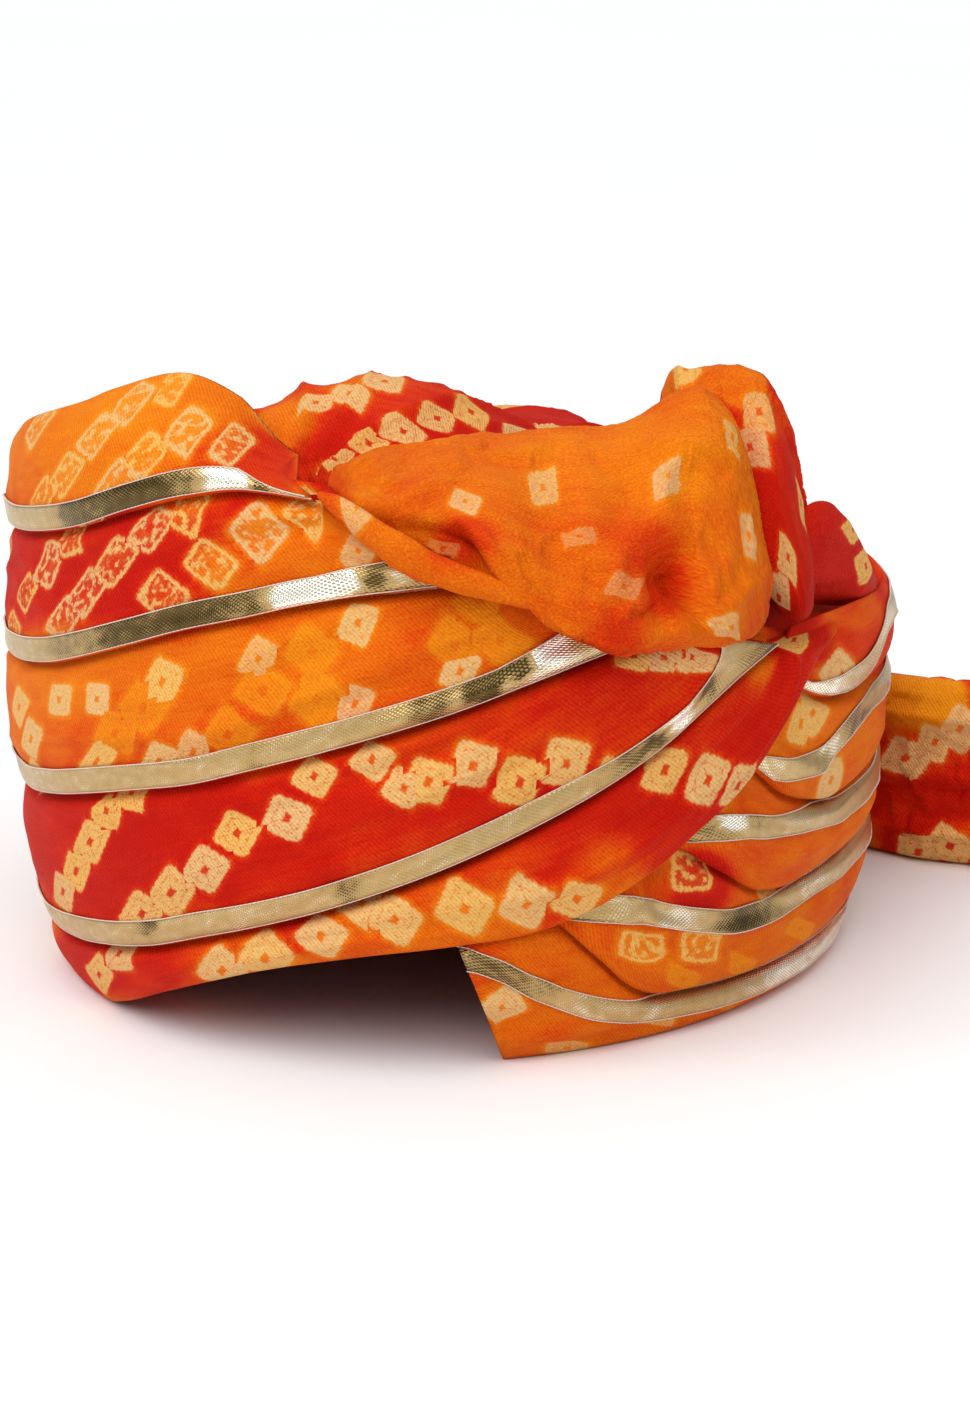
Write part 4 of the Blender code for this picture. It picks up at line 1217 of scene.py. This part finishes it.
def write_painted_reflection(piece, seed):
    """Writes a ribbon's painted reflection, dark and bright patches of its colour, as an attribute."""
    points = positions(piece)
    value, weights = charted(points, PAINTED_REFLECTION_PATCHES)
    at = points / MM
    rest = 0.9 * noise(at[:, 0] / 30, at[:, 1] / 30, at[:, 2] / 30, seed)
    near = ease(weights * 5) * facing_photo(piece)
    write_values(piece, "shine", "FLOAT", "POINT", "value", near * value + (1 - near) * rest)


class Chart:
    """A piece's faces, with where each corner lies on the cloth and in the photograph."""

    def __init__(self, piece, part):
        self.piece, self.part = piece, part
        mesh = piece.data
        self.points = positions(piece)
        self.corner_points = values_of(mesh.loops, "vertex_index", kind=np.int32)
        self.starts = values_of(mesh.polygons, "loop_start", kind=np.int32)
        self.uv = values_of(mesh.uv_layers["cloth"].data, "uv", 2).astype(float) * MM_PER_CM
        self.sizes = np.diff(np.append(self.starts, len(mesh.loops)))
        self.middles = np.add.reduceat(self.uv, self.starts) / self.sizes[:, None]
        self.face_of = np.repeat(np.arange(len(self.starts)), self.sizes)
        self.local = np.full((len(mesh.loops), 2), NO_SQUARE)
        self.nearest = np.full(len(self.starts), SQUARE_TAKES)
        self.kind = np.zeros((len(mesh.loops), 4))

    def corners(self, face):
        """The first three corners of a face."""
        start = self.starts[face]
        return np.arange(start, start + 3)

    def add_square(self, middle, to_square, kind, tone):
        """A square at a place on the cloth; to_square turns a step on the cloth into its own units."""
        local = (self.middles - middle) @ to_square.T
        near = np.abs(local).max(axis=1)
        mine = near < self.nearest
        self.nearest[mine] = near[mine]
        corners = mine[self.face_of]
        self.local[corners] = (self.uv[corners] - middle) @ to_square.T
        strength, hollow, pink, yellow = SQUARE_KINDS[kind]
        self.kind[corners] = (strength, hollow, pink, tone + yellow)


def spin(degrees):
    """The change of axes that turns by a number of degrees."""
    cos, sin = math.cos(math.radians(degrees)), math.sin(math.radians(degrees))
    return np.array([[cos, -sin], [sin, cos]])


def all_faces(charts):
    """A tree of every piece's faces, and a list of the chart and the face that each one is."""
    points, faces, owner = [], [], []
    for chart in charts:
        base = len(points)
        points.extend(chart.points.tolist())
        for face, (start, size) in enumerate(zip(chart.starts, chart.sizes)):
            faces.append((chart.corner_points[start:start + size] + base).tolist())
            owner.append((chart, face))
    return BVHTree.FromPolygons(points, faces), owner


def cloth_in_photo(chart, face):
    """A corner's place on the cloth and in the photograph, and what turns a step on the cloth to pixels."""
    corners = chart.corners(face)
    on_cloth = chart.uv[corners]
    in_photo = pixels(chart.points[chart.corner_points[corners]])
    steps, shown = (np.stack([at[1] - at[0], at[2] - at[0]], axis=1) for at in (on_cloth, in_photo))
    if abs(np.linalg.det(steps)) < 1e-6:
        return None
    return on_cloth[0], in_photo[0], shown @ np.linalg.inv(steps)


def chart_photo_squares(tree, owner):
    """Puts each charted square on whatever piece its pixel looks at."""
    number = 0
    for part, kind, wide, tall, lean, *places in SQUARE_ROWS:
        for x, y in places:
            number += 1
            met = first_face(tree, owner, part, sight_line(x, y))
            found = met and cloth_in_photo(*met)
            if not found:
                continue
            on_cloth, in_photo, to_photo = found
            middle = on_cloth + np.linalg.solve(to_photo, np.array([x, y]) - in_photo)
            jitter = SQUARE_JITTER * (lattice(number, 1, 0, 5) - 0.5)
            growth = PART_GROWTHS.get(part, SQUARE_GROWTH)
            size = growth + GROWTH_VARIES * (lattice(number, 2, 0, 5) - 0.5)
            half = np.diag([2 / wide, 2 / tall]) / size
            to_square = unsmeared(half @ spin(lean + jitter).T @ to_photo)
            met[0].add_square(middle, to_square, kind, lattice(number, 3, 0, 5))


def unsmeared(to_square):
    """The same change of axes, with no half size of a square over LONGEST_HALF or under SHORTEST_HALF."""
    turn, shares, back = np.linalg.svd(to_square)
    return turn @ np.diag(np.clip(shares, 1 / LONGEST_HALF, 1 / SHORTEST_HALF)) @ back


def first_face(tree, owner, part, sight):
    """The first face of a part that a line of sight meets, through whatever stands before it."""
    start = Vector(EYE * MM)
    for _ in range(MOST_LAYERS):
        hit, _, face, _ = tree.ray_cast(start, sight)
        if hit is None:
            return None
        if owner[face][0].part == part:
            return owner[face]
        start = hit + sight * STEP_PAST
    return None


def seen_places(chart, tree):
    """Places on the cloth that the photograph shows, from some of the faces that face it."""
    eye = Vector(EYE * MM)
    found = []
    for face in range(0, len(chart.starts), PROBE_EVERY):
        if Vector(BACK).dot(chart.piece.data.polygons[face].normal) < 0:
            continue
        spot = Vector(chart.points[chart.corner_points[chart.corners(face)]].mean(axis=0))
        hit, _, _, distance = tree.ray_cast(eye, (spot - eye).normalized())
        seen = hit is not None and abs(distance - (spot - eye).length) < PROBE_CLOSE
        if seen and 0 < pixels(np.array(spot))[0] < IMAGE_SIZE[0]:
            found.append(chart.middles[face])
    return np.array(found).reshape(-1, 2)


def chart_hidden_squares(charts, tree):
    """Rows of squares that climb across the cloth where the photograph doesn't look."""
    for index, chart in enumerate(charts):
        seen = seen_places(chart, tree)
        low, high = chart.uv.min(axis=0), chart.uv.max(axis=0)
        rows = int((high[0] - low[0]) / ROW_SPACING) + 4
        climbs = int((high[1] - low[1]) / SQUARE_SPACING / math.sin(ROW_CLIMB)) + 2
        for row in range(-4, rows):
            start = low[0] + ROW_SPACING * (row + START_VARIES * lattice(row + 9, index, 1, 6))
            kind = ("full", "full", "ring", "pale")[int(4 * lattice(row + 9, index, 2, 6)) % 4]
            for step in range(climbs):
                far = SQUARE_SPACING * (step + PLACE_VARIES * lattice(row + 9, step, index, 7))
                middle = np.array([start + far * math.cos(ROW_CLIMB), low[1] + far * math.sin(ROW_CLIMB)])
                if np.abs(chart.middles - middle).max(axis=1).min() > OFF_CLOTH:
                    continue
                if len(seen) and np.abs(seen - middle).max(axis=1).min() < SEEN_MARGIN:
                    continue
                turn = spin(math.degrees(ROW_CLIMB) + TURN_VARIES * lattice(step, row + 9, index, 8))
                size = SQUARE_HALF * (LEAST_SIZE + SIZE_VARIES * lattice(step, row + 9, index, 9))
                chart.add_square(middle, turn.T / size, kind, lattice(step, row + 9, index, 10))


def dye_and_shade_of(chart, base):
    """The dye at each point, painted shade and light included: the charted patches where the photograph
    looks, and drifts elsewhere.
    """
    x, y, z = (chart.points / MM).T
    rest = base + 0.5 * noise(x / 34, y / 34, z / 24, 101) + 0.22 * noise(x / 12, y / 12, z / 9, 102)
    value, weights = charted(chart.points, DYE_AND_PAINTED_SHADE_PATCHES[chart.part])
    near = ease(weights * 6) * facing_photo(chart.piece)
    return near * (value + 0.14 * noise(x / 9, y / 9, z / 7, 103)) + (1 - near) * rest


def paint(chart, base):
    """Writes a piece's dye, painted shade included, and squares as attributes."""
    layers = chart.piece.data.uv_layers
    write_values(chart.piece, "dye", "FLOAT", "POINT", "value", dye_and_shade_of(chart, base))
    layers.new(name="squares").data.foreach_set("uv", chart.local.astype(np.float32).ravel())
    write_values(chart.piece, "kind", "FLOAT_COLOR", "CORNER", "color", chart.kind)
    layers.active = layers["cloth"]


# Shaders


def sum_method(operation, swapped=False):
    """A method that puts a maths node between a socket and what it is summed with."""
    def method(self, *others):
        values = (*others, self) if swapped else (self, *others)
        made = self.nodes.node("ShaderNodeMath", {"operation": operation}, dict(enumerate(values)))
        return Sum(self.nodes, made.outputs[0])

    return method


class Sum:
    """A shader socket that takes part in ordinary sums."""

    def __init__(self, nodes, socket):
        self.nodes, self.socket = nodes, socket

    __add__, __radd__ = sum_method("ADD"), sum_method("ADD", swapped=True)
    __sub__, __rsub__ = sum_method("SUBTRACT"), sum_method("SUBTRACT", swapped=True)
    __mul__, __rmul__ = sum_method("MULTIPLY"), sum_method("MULTIPLY", swapped=True)
    __pow__ = sum_method("POWER")
    __abs__ = sum_method("ABSOLUTE")
    larger = sum_method("MAXIMUM")
    sine = sum_method("SINE")

    def ramp(self, low, high):
        """0 where the value is at low and 1 where it is at high, smooth between."""
        made = self.nodes.node(
            "ShaderNodeMapRange", {"interpolation_type": "SMOOTHSTEP"},
            {"Value": self, "From Min": low, "From Max": high},
        )
        return Sum(self.nodes, made.outputs["Result"])


class Nodes:
    """A node tree under construction."""

    def __init__(self, tree):
        self.tree = tree

    def node(self, kind, settings=None, inputs=None):
        made = self.tree.nodes.new(kind)
        for name, value in (settings or {}).items():
            if name == "stops":
                self.set_stops(made.color_ramp, value)
            else:
                setattr(made, name, value)
        for name, value in (inputs or {}).items():
            self.put(made.inputs[name], value)
        return made

    def set_stops(self, ramp, stops):
        while len(ramp.elements) < len(stops):
            ramp.elements.new(1.0)
        for element, (position, colour) in zip(ramp.elements, stops):
            element.position = position
            element.color = (*colour, 1)

    def put(self, socket, value):
        if isinstance(value, Sum):
            value = value.socket
        if isinstance(value, bpy.types.NodeSocket):
            self.tree.links.new(value, socket)
        else:
            socket.default_value = value


class Finish(Nodes):
    """A material under construction."""

    def __init__(self, name):
        self.material = bpy.data.materials.new(name)
        self.material.use_nodes = True
        super().__init__(self.material.node_tree)
        self.surface = self.tree.nodes["Principled BSDF"]

    def set(self, **values):
        for name, value in values.items():
            self.put(self.surface.inputs[name.replace("_", " ")], value)

    def value(self, node, output=0):
        return Sum(self, node.outputs[output])

    def uv(self, name):
        return self.node("ShaderNodeUVMap", {"uv_map": name}).outputs[0]

    def attribute(self, name):
        return self.value(self.node("ShaderNodeAttribute", {"attribute_name": name}), "Fac")

    def level_parts(self, vector):
        """The first two parts of a vector."""
        apart = self.node("ShaderNodeSeparateXYZ", {}, {0: vector})
        return self.value(apart, 0), self.value(apart, 1)

    def noise(self, vector, scale, detail=2.0, roughness=0.5):
        made = self.node("ShaderNodeTexNoise", {}, {
            "Vector": vector, "Scale": scale, "Detail": detail, "Roughness": roughness,
        })
        return self.value(made, "Fac")

    def stretched(self, vector, along_it, across_it):
        made = self.node("ShaderNodeMapping", {}, {"Vector": vector, "Scale": (along_it, across_it, 1)})
        return made.outputs[0]

    def mix(self, share, first, second, blend="MIX"):
        settings = {"data_type": "RGBA", "blend_type": blend}
        return self.node("ShaderNodeMix", settings, {0: share, 6: first, 7: second}).outputs[2]

    def bump(self, height, distance, strength):
        settings = {"Height": height, "Distance": distance, "Strength": strength}
        return self.node("ShaderNodeBump", {}, settings).outputs[0]


# Colours, as linear red, green, blue
DEEP_RED = (0.56, 0.007, 0.003)
RED = (0.66, 0.016, 0.004)
RED_ORANGE = (0.75, 0.058, 0.004)
ORANGE = (0.82, 0.160, 0.005)
BRIGHT_ORANGE = (0.88, 0.235, 0.006)
YELLOW = (0.92, 0.34, 0.012)
CREAM = (0.84, 0.58, 0.24, 1)
YELLOW_CREAM = (0.90, 0.56, 0.12, 1)
PINK_CREAM = (0.80, 0.46, 0.27, 1)
GOLD = (0.68, 0.46, 0.19, 1)
# Painted reflections of the ribbons: a dark gold, which also darkens the weave's dots, and a painted
# highlight
DARK_WEAVE_AND_PAINTED_REFLECTION = (0.11, 0.072, 0.024, 1)
PAINTED_HIGHLIGHT_GOLD = (0.98, 0.95, 0.84, 1)
SELVAGE = (0.80, 0.66, 0.60, 1)
SELVAGE_SHADE = (0.72, 0.55, 0.42, 1)
GRAIN = (0.72, 0.42, 0.30, 1)
GRAIN_SHARE = 0.55
# Columns: dye as a share of its range, colour
DYE_STOPS = (
    (0.0, DEEP_RED), (0.16, RED), (0.32, RED_ORANGE), (0.5, ORANGE), (0.66, BRIGHT_ORANGE),
    (0.95, YELLOW),
)
# Where a tied square's paleness fades out, where its heart and hollow core fade out, where its dark ring
# runs, and where the glow round it fades out, all as shares of its half size
SQUARE_EDGE = (0.81, 0.95)
HEART_EDGE = (0.13, 0.25)
CORE_EDGE = (0.66, 0.76)
RING_AT = 0.56
GLOW_EDGE = (0.9, 1.2)
# How far a square's outline wanders, as a share of its half size
RAGGED = 0.26

# Pitch of the twill and the ribbon's weave, in cm
TWILL_PITCH = 0.085
RIBBON_PITCH = 0.10


def cloth_grain(made, cloth, twill_share, crepe_share):
    """How high the threads stand, and the crepe that is part of that."""
    run, over = made.level_parts(cloth)
    drift = made.noise(cloth, 1.2, 2.0)
    crepe = made.noise(made.stretched(cloth, 1.0, 1.7), 10.0, 2.0, 0.6).ramp(0.28, 0.72)
    slant = (run * 0.8 + over * 0.6 + drift * 0.1) * (2 * math.pi / TWILL_PITCH)
    twill = slant.sine() * 0.5 + 0.5
    return twill * twill_share + crepe * crepe_share, crepe


def tied_square(made, cloth, strength, hollow):
    """How pale the tying left the cloth, and how far out in its square each place lies."""
    x, y = made.level_parts(made.uv("squares"))
    ragged = made.noise(cloth, 9.0, 3.0)
    drawn = made.noise(made.stretched(cloth, 4.0, 1.2), 2.0, 3.0)
    across = abs(x + RAGGED * (ragged - 0.5))
    up = abs(y + RAGGED * (drawn - 0.5))
    size = (across ** 7 + up ** 7) ** (1 / 7)
    body = 1 - size.ramp(*SQUARE_EDGE)
    heart = 1 - (across * 1.25).larger(up).ramp(*HEART_EDGE)
    patchy = made.noise(cloth, 14.0, 2.0)
    ring = (1 - abs(size - RING_AT).ramp(0.02, 0.08)) * patchy.ramp(0.46, 0.62)
    threads = (1 - abs(across - up).ramp(0.0, 0.09)) * patchy.ramp(0.48, 0.6) * 0.75
    core = (1 - size.ramp(*CORE_EDGE)) * made.noise(cloth, 4.0, 1.0).ramp(0.38, 0.54) * hollow
    stain = made.noise(cloth, 5.0, 3.0).ramp(0.5, 0.75) * 0.35
    shows = body * strength * (1 - 0.95 * heart) * (1 - 0.62 * ring) * (1 - threads) * (1 - 0.92 * core)
    return shows * (1 - stain), size


def tie_dye(name, twill_share, crepe_share):
    """Fine cloth, dyed from red to orange, with tied squares left pale."""
    made = Finish(name)
    cloth = made.uv("cloth")
    # The dye attribute also carries painted shade and painted light from the charted patches
    dye = made.attribute("dye")
    kind = made.node("ShaderNodeAttribute", {"attribute_name": "kind"})
    kinds = made.node("ShaderNodeSeparateColor", {}, {0: kind.outputs["Color"]})
    strength, hollow, pink = (made.value(kinds, i) for i in range(3))
    tone = made.value(kind, "Alpha")

    weave, crepe = cloth_grain(made, cloth, twill_share, crepe_share)
    shows, size = tied_square(made, cloth, strength, hollow)
    shows = shows * (0.86 + 0.14 * weave)
    blotch = made.noise(made.stretched(cloth, 0.35, 0.8), 1.6, 4.0, 0.6)
    streaks = made.noise(made.stretched(cloth, 0.6, 5.0), 1.0, 3.0)
    glow = (1 - size.ramp(*GLOW_EDGE)) * strength
    dyed_and_shaded = dye + 0.7 * (blotch - 0.5) + 0.36 * (streaks - 0.5) + 0.36 * glow + 0.2 * (weave - 0.5)
    ground = made.node("ShaderNodeValToRGB", {"stops": DYE_STOPS}, {0: dyed_and_shaded * 0.5}).outputs[0]
    pale = made.mix(tone.ramp(0.1, 0.9) * 0.85, CREAM, YELLOW_CREAM)
    pale = made.mix(tone.ramp(1.1, 1.4), pale, (*YELLOW, 1))
    pale = made.mix(pink * made.noise(cloth, 6.0).ramp(0.35, 0.7), pale, PINK_CREAM)
    coloured = made.mix(shows, ground, pale)
    made.set(
        Base_Color=made.mix((1 - weave) * GRAIN_SHARE, coloured, GRAIN, "MULTIPLY"),
        Roughness=0.55 + 0.2 * crepe,
        Specular_IOR_Level=0.08,
        Specular_Tint=(1.0, 0.62, 0.36, 1),
        Sheen_Weight=0.03,
        Sheen_Roughness=0.4,
        Sheen_Tint=(1.0, 0.45, 0.15, 1),
        Normal=made.bump(weave, 0.0004, 0.7),
    )
    return made.material


def gold_ribbon():
    """Woven metallic ribbon: a slanting twill that breaks up the painted reflections in its colour."""
    made = Finish("gold_ribbon_weave")
    cloth = made.uv("cloth")
    run, over = made.level_parts(cloth)
    shine = made.attribute("shine")
    turn = 2 * math.pi / RIBBON_PITCH
    twill = ((run * 0.75 + over) * turn).sine()
    weft = ((run * 0.75 - over) * turn).sine()
    dots = twill * 0.5 + weft * 0.5
    patches = made.noise(made.stretched(cloth, 1.0, 1.6), 2.2, 3.0)
    painted_reflection_level = shine + 1.1 * (patches - 0.5) + 0.42 * dots
    plain = made.mix(dots * 0.24 + 0.24, GOLD, DARK_WEAVE_AND_PAINTED_REFLECTION)
    # Painted reflection: dark gold where the charted level is low, a painted highlight where it is high
    shade = made.mix(painted_reflection_level.ramp(-0.75, -0.25), DARK_WEAVE_AND_PAINTED_REFLECTION, plain)
    shade = made.mix(painted_reflection_level.ramp(0.3, 0.8), shade, PAINTED_HIGHLIGHT_GOLD)
    made.set(
        Base_Color=shade,
        Metallic=1.0,
        Roughness=0.36 - 0.2 * abs(painted_reflection_level).ramp(0.2, 0.8),
        Normal=made.bump(dots, 0.00010, 0.6),
    )
    return made.material


def thread():
    """Pale thread, for the ribbons' selvages."""
    made = Finish("selvage_thread")
    place_in = made.node("ShaderNodeTexCoord").outputs["Object"]
    shade = made.mix(made.noise(place_in, 900.0), SELVAGE, SELVAGE_SHADE)
    fibres = made.bump(made.noise(place_in, 4000.0), 0.0001, 0.5)
    made.set(Base_Color=shade, Roughness=0.55, Normal=fibres)
    return made.material


# Selvages of the ribbons


# In metres
STITCH_SIZES = {"Pitch": 0.0014, "Stitch Length": 0.0011, "Thread Radius": 0.00016}
STITCH_SLANT = math.radians(38)
# How thick a stitch is, as a share of the thread's radius
STITCH_THICK = 2.6


def stitch_tree(material):
    """A cord along each line, with small slanting stitches at an even pitch."""
    tree = bpy.data.node_groups.new("selvage_stitches", "GeometryNodeTree")
    tree.interface.new_socket("Geometry", in_out="INPUT", socket_type="NodeSocketGeometry")
    for name, size in STITCH_SIZES.items():
        socket = tree.interface.new_socket(name, in_out="INPUT", socket_type="NodeSocketFloat")
        socket.default_value = size
    tree.interface.new_socket("Geometry", in_out="OUTPUT", socket_type="NodeSocketGeometry")
    made = Nodes(tree)
    given = made.node("NodeGroupInput").outputs
    result = made.node("NodeGroupOutput")
    evenly = made.node("GeometryNodeResampleCurve", {"mode": "LENGTH"}, {
        "Curve": given["Geometry"], "Length": given["Pitch"],
    })
    profile = made.node("GeometryNodeCurvePrimitiveCircle", {}, {
        "Resolution": 4, "Radius": given["Thread Radius"],
    })
    cord = made.node("GeometryNodeCurveToMesh", {}, {
        "Curve": evenly.outputs[0], "Profile Curve": profile.outputs["Curve"], "Fill Caps": True,
    })
    tangent = made.node("GeometryNodeInputTangent")
    aim = made.node("FunctionNodeAlignRotationToVector", {"axis": "X"}, {"Vector": tangent.outputs[0]})
    slant = made.node("FunctionNodeRotateRotation", {"rotation_space": "LOCAL"}, {
        "Rotation": aim.outputs[0], "Rotate By": (0.0, 0.0, STITCH_SLANT),
    })
    bead = made.node("GeometryNodeMeshIcoSphere", {}, {"Subdivisions": 1, "Radius": 0.5})
    thick = Sum(made, given["Thread Radius"]) * STITCH_THICK
    stretch = made.node("ShaderNodeCombineXYZ", {}, {0: given["Stitch Length"], 1: thick, 2: thick})
    each = made.node("GeometryNodeInstanceOnPoints", {}, {
        "Points": evenly.outputs[0], "Instance": bead.outputs["Mesh"],
        "Rotation": slant.outputs[0], "Scale": stretch.outputs[0],
    })
    both = made.node("GeometryNodeJoinGeometry", {}, {0: cord.outputs[0]})
    made.put(both.inputs[0], each.outputs[0])
    real = made.node("GeometryNodeRealizeInstances", {}, {0: both.outputs[0]})
    dressed = made.node("GeometryNodeSetMaterial", {}, {"Material": material, "Geometry": real.outputs[0]})
    made.put(result.inputs[0], dressed.outputs[0])
    return tree


def lines_object(name, lines):
    """A curve object with a plain spline through each line of points in mm."""
    curve = bpy.data.curves.new(name, "CURVE")
    curve.dimensions = "3D"
    for line in lines:
        spline = curve.splines.new("POLY")
        spline.points.add(len(line) - 1)
        spots = np.ones((len(line), 4))
        spots[:, :3] = (line + AXIS) * MM
        spline.points.foreach_set("co", spots.ravel())
    return add_object(name, curve)


def selvages(lines, material):
    """The pale bound edges of all the ribbons."""
    path = lines_object("selvage_lines", lines)
    path.modifiers.new("stitches", "NODES").node_group = stitch_tree(material)
    mesh = evaluated_mesh(path)
    mesh.name = "ribbon_selvages"
    bpy.data.objects.remove(path, do_unlink=True)
    mesh.shade_smooth()
    return add_object("ribbon_selvages", mesh)


# The set


SENSOR = 36.0
FLOOR_RADIUS = 8.0
FLOOR_SHADES = ((0.925, 0.94, 0.95, 1), (0.955, 0.97, 0.98, 1))
LIGHTS_AIM = (0.0, 0.0, 0.08)
KEY_POWER = 1.68
KEY_SOFTNESS = math.radians(60)
KEY_DIRECTION = (0.12, 0.85, -1.2)
# Each light's place in metres, its size in metres and its power
SOFT_LIGHTS = {
    "strip": ((-0.9, -0.9, 0.9), (0.25, 1.2), 2.2),
    "fill": ((1.1, -0.5, 0.8), (0.7, 0.7), 1.6),
}
# How brightly the surround lights the object from the level and from above, and at what rises of the
# direction the one gives way to the other
LEVEL_GLOW, UPPER_GLOW = 0.12, 0.75
GLOW_LOW, GLOW_HIGH = 0.05, 0.6


def aimed(direction):
    """The rotation that turns a camera or light to a direction."""
    return Vector(direction).to_track_quat("-Z", "Y").to_euler()


def camera():
    data = bpy.data.cameras.new("camera")
    data.sensor_fit = "VERTICAL"
    data.sensor_height = SENSOR
    data.sensor_width = SENSOR
    data.lens = SENSOR * EYE_FOCUS / IMAGE_SIZE[1]
    made = add_object("camera", data)
    made.location = Vector(EYE * MM)
    made.rotation_euler = aimed(-BACK)
    bpy.context.scene.camera = made


def soft_light(name, place_at, size, power):
    data = bpy.data.lights.new(name, "AREA")
    data.shape = "RECTANGLE"
    data.size, data.size_y = size
    data.energy = power
    made = add_object(name, data)
    made.location = place_at
    made.rotation_euler = aimed(Vector(LIGHTS_AIM) - Vector(place_at))


def studio():
    """A pale floor, a pale surround and large soft lights."""
    mesh = bpy.data.meshes.new("floor")
    body = bmesh.new()
    bmesh.ops.create_circle(body, cap_ends=True, radius=FLOOR_RADIUS, segments=96)
    body.to_mesh(mesh)
    body.free()
    floor = add_object("floor", mesh)
    made = Finish("studio_floor")
    spot = made.node("ShaderNodeTexCoord").outputs["Object"]
    shade = made.mix(made.noise(spot, 3.0), *FLOOR_SHADES)
    made.set(Base_Color=shade, Roughness=0.6, Specular_IOR_Level=0.2)
    mesh.materials.append(made.material)

    surround()
    sun = bpy.data.lights.new("key", "SUN")
    sun.energy = KEY_POWER
    sun.angle = KEY_SOFTNESS
    add_object("key", sun).rotation_euler = aimed(KEY_DIRECTION)
    for name, (place_at, size, power) in SOFT_LIGHTS.items():
        soft_light(name, place_at, size, power)
    bpy.context.scene.view_settings.view_transform = "Standard"


def surround():
    """A pale surround that lights the object more from above than from the level."""
    world = bpy.data.worlds.new("studio")
    world.use_nodes = True
    bpy.context.scene.world = world
    made = Nodes(world.node_tree)
    direction = made.node("ShaderNodeTexCoord").outputs["Generated"]
    rise = made.node("ShaderNodeMapRange", {"interpolation_type": "SMOOTHSTEP"}, {
        "Value": made.node("ShaderNodeSeparateXYZ", {}, {0: direction}).outputs["Z"],
        "From Min": GLOW_LOW, "From Max": GLOW_HIGH, "To Min": LEVEL_GLOW, "To Max": UPPER_GLOW,
    })
    seen = made.node("ShaderNodeMix", {}, {
        "Factor": made.node("ShaderNodeLightPath").outputs["Is Camera Ray"],
        "A": rise.outputs["Result"], "B": 1.0,
    })
    background = world.node_tree.nodes["Background"].inputs
    made.put(background["Strength"], seen.outputs["Result"])
    made.put(background["Color"], (1.0, 1.0, 1.0, 1))


def dress(piece, node):
    """Hangs a piece under the root body and hides the solid that it dresses."""
    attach(piece, "root")
    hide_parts(node)


# Which charts a piece follows, where its name's first word doesn't say it
PARTS = {
    "padded_wall": "wall", "knot_bloom": "bloom", "knot_fold": "bloom", "knot_crest": "crest",
    "knot_tuck": "crest",
}
# The dye of each cloth where the photograph doesn't look; the padded wall's deep red is painted shade inside
# it
HIDDEN_DYE = 0.95
HIDDEN_DYES_AND_SHADE = {
    "front_turn_2": 0.3, "front_turn_4": 0.25, "side_turn_1": 0.4, "padded_wall": 0.0, "crown": 0.3,
    "knot_bloom": 1.0, "knot_fold": 1.0, "knot_crest": 0.2, "knot_tuck": 0.1, "tail": 0.5,
}


def paint_cloths(cloths):
    """Dyes every piece of cloth and dresses it over its node."""
    turn_cloth = tie_dye("tie_dye_twill", twill_share=0.4, crepe_share=0.6)
    knot_cloth = tie_dye("tie_dye_crepe", twill_share=0.15, crepe_share=0.85)
    charts = [Chart(piece, PARTS.get(node, node.split("_")[0])) for node, piece in cloths.items()]
    tree, owner = all_faces(charts)
    chart_photo_squares(tree, owner)
    chart_hidden_squares(charts, tree)
    for chart, (node, piece) in zip(charts, cloths.items()):
        paint(chart, HIDDEN_DYES_AND_SHADE.get(node, HIDDEN_DYE))
        piece.data.materials.clear()
        piece.data.materials.append(knot_cloth if node.startswith("knot") else turn_cloth)
        dress(piece, node)


def dress_ribbons(winding):
    """Gives the ribbons their gold and their bound edges."""
    gold_finish = gold_ribbon()
    for seed, (node, piece) in enumerate(winding.ribbons.items(), PAINTED_REFLECTION_SEED):
        write_painted_reflection(piece, seed)
        piece.data.materials.append(gold_finish)
        dress(piece, node)
    bound = selvages(winding.edges, thread())
    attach(bound, "root")


def main():
    """The set, the view, and the turban's pieces, each dressed over the solid it hides."""
    studio()
    camera()
    winding = Winding()
    wind_front(winding)
    wind_sides(winding)
    cloths = {node: piece for node, (piece, _) in winding.turns.items()}
    cloths.update(
        padded_wall=wall_ring(),
        crown=crown(),
        knot_bloom=bloom(),
        knot_fold=lower_fold(),
        knot_crest=crest(),
        knot_tuck=tuck(),
        tail=tail(),
    )
    paint_cloths(cloths)
    dress_ribbons(winding)


main()
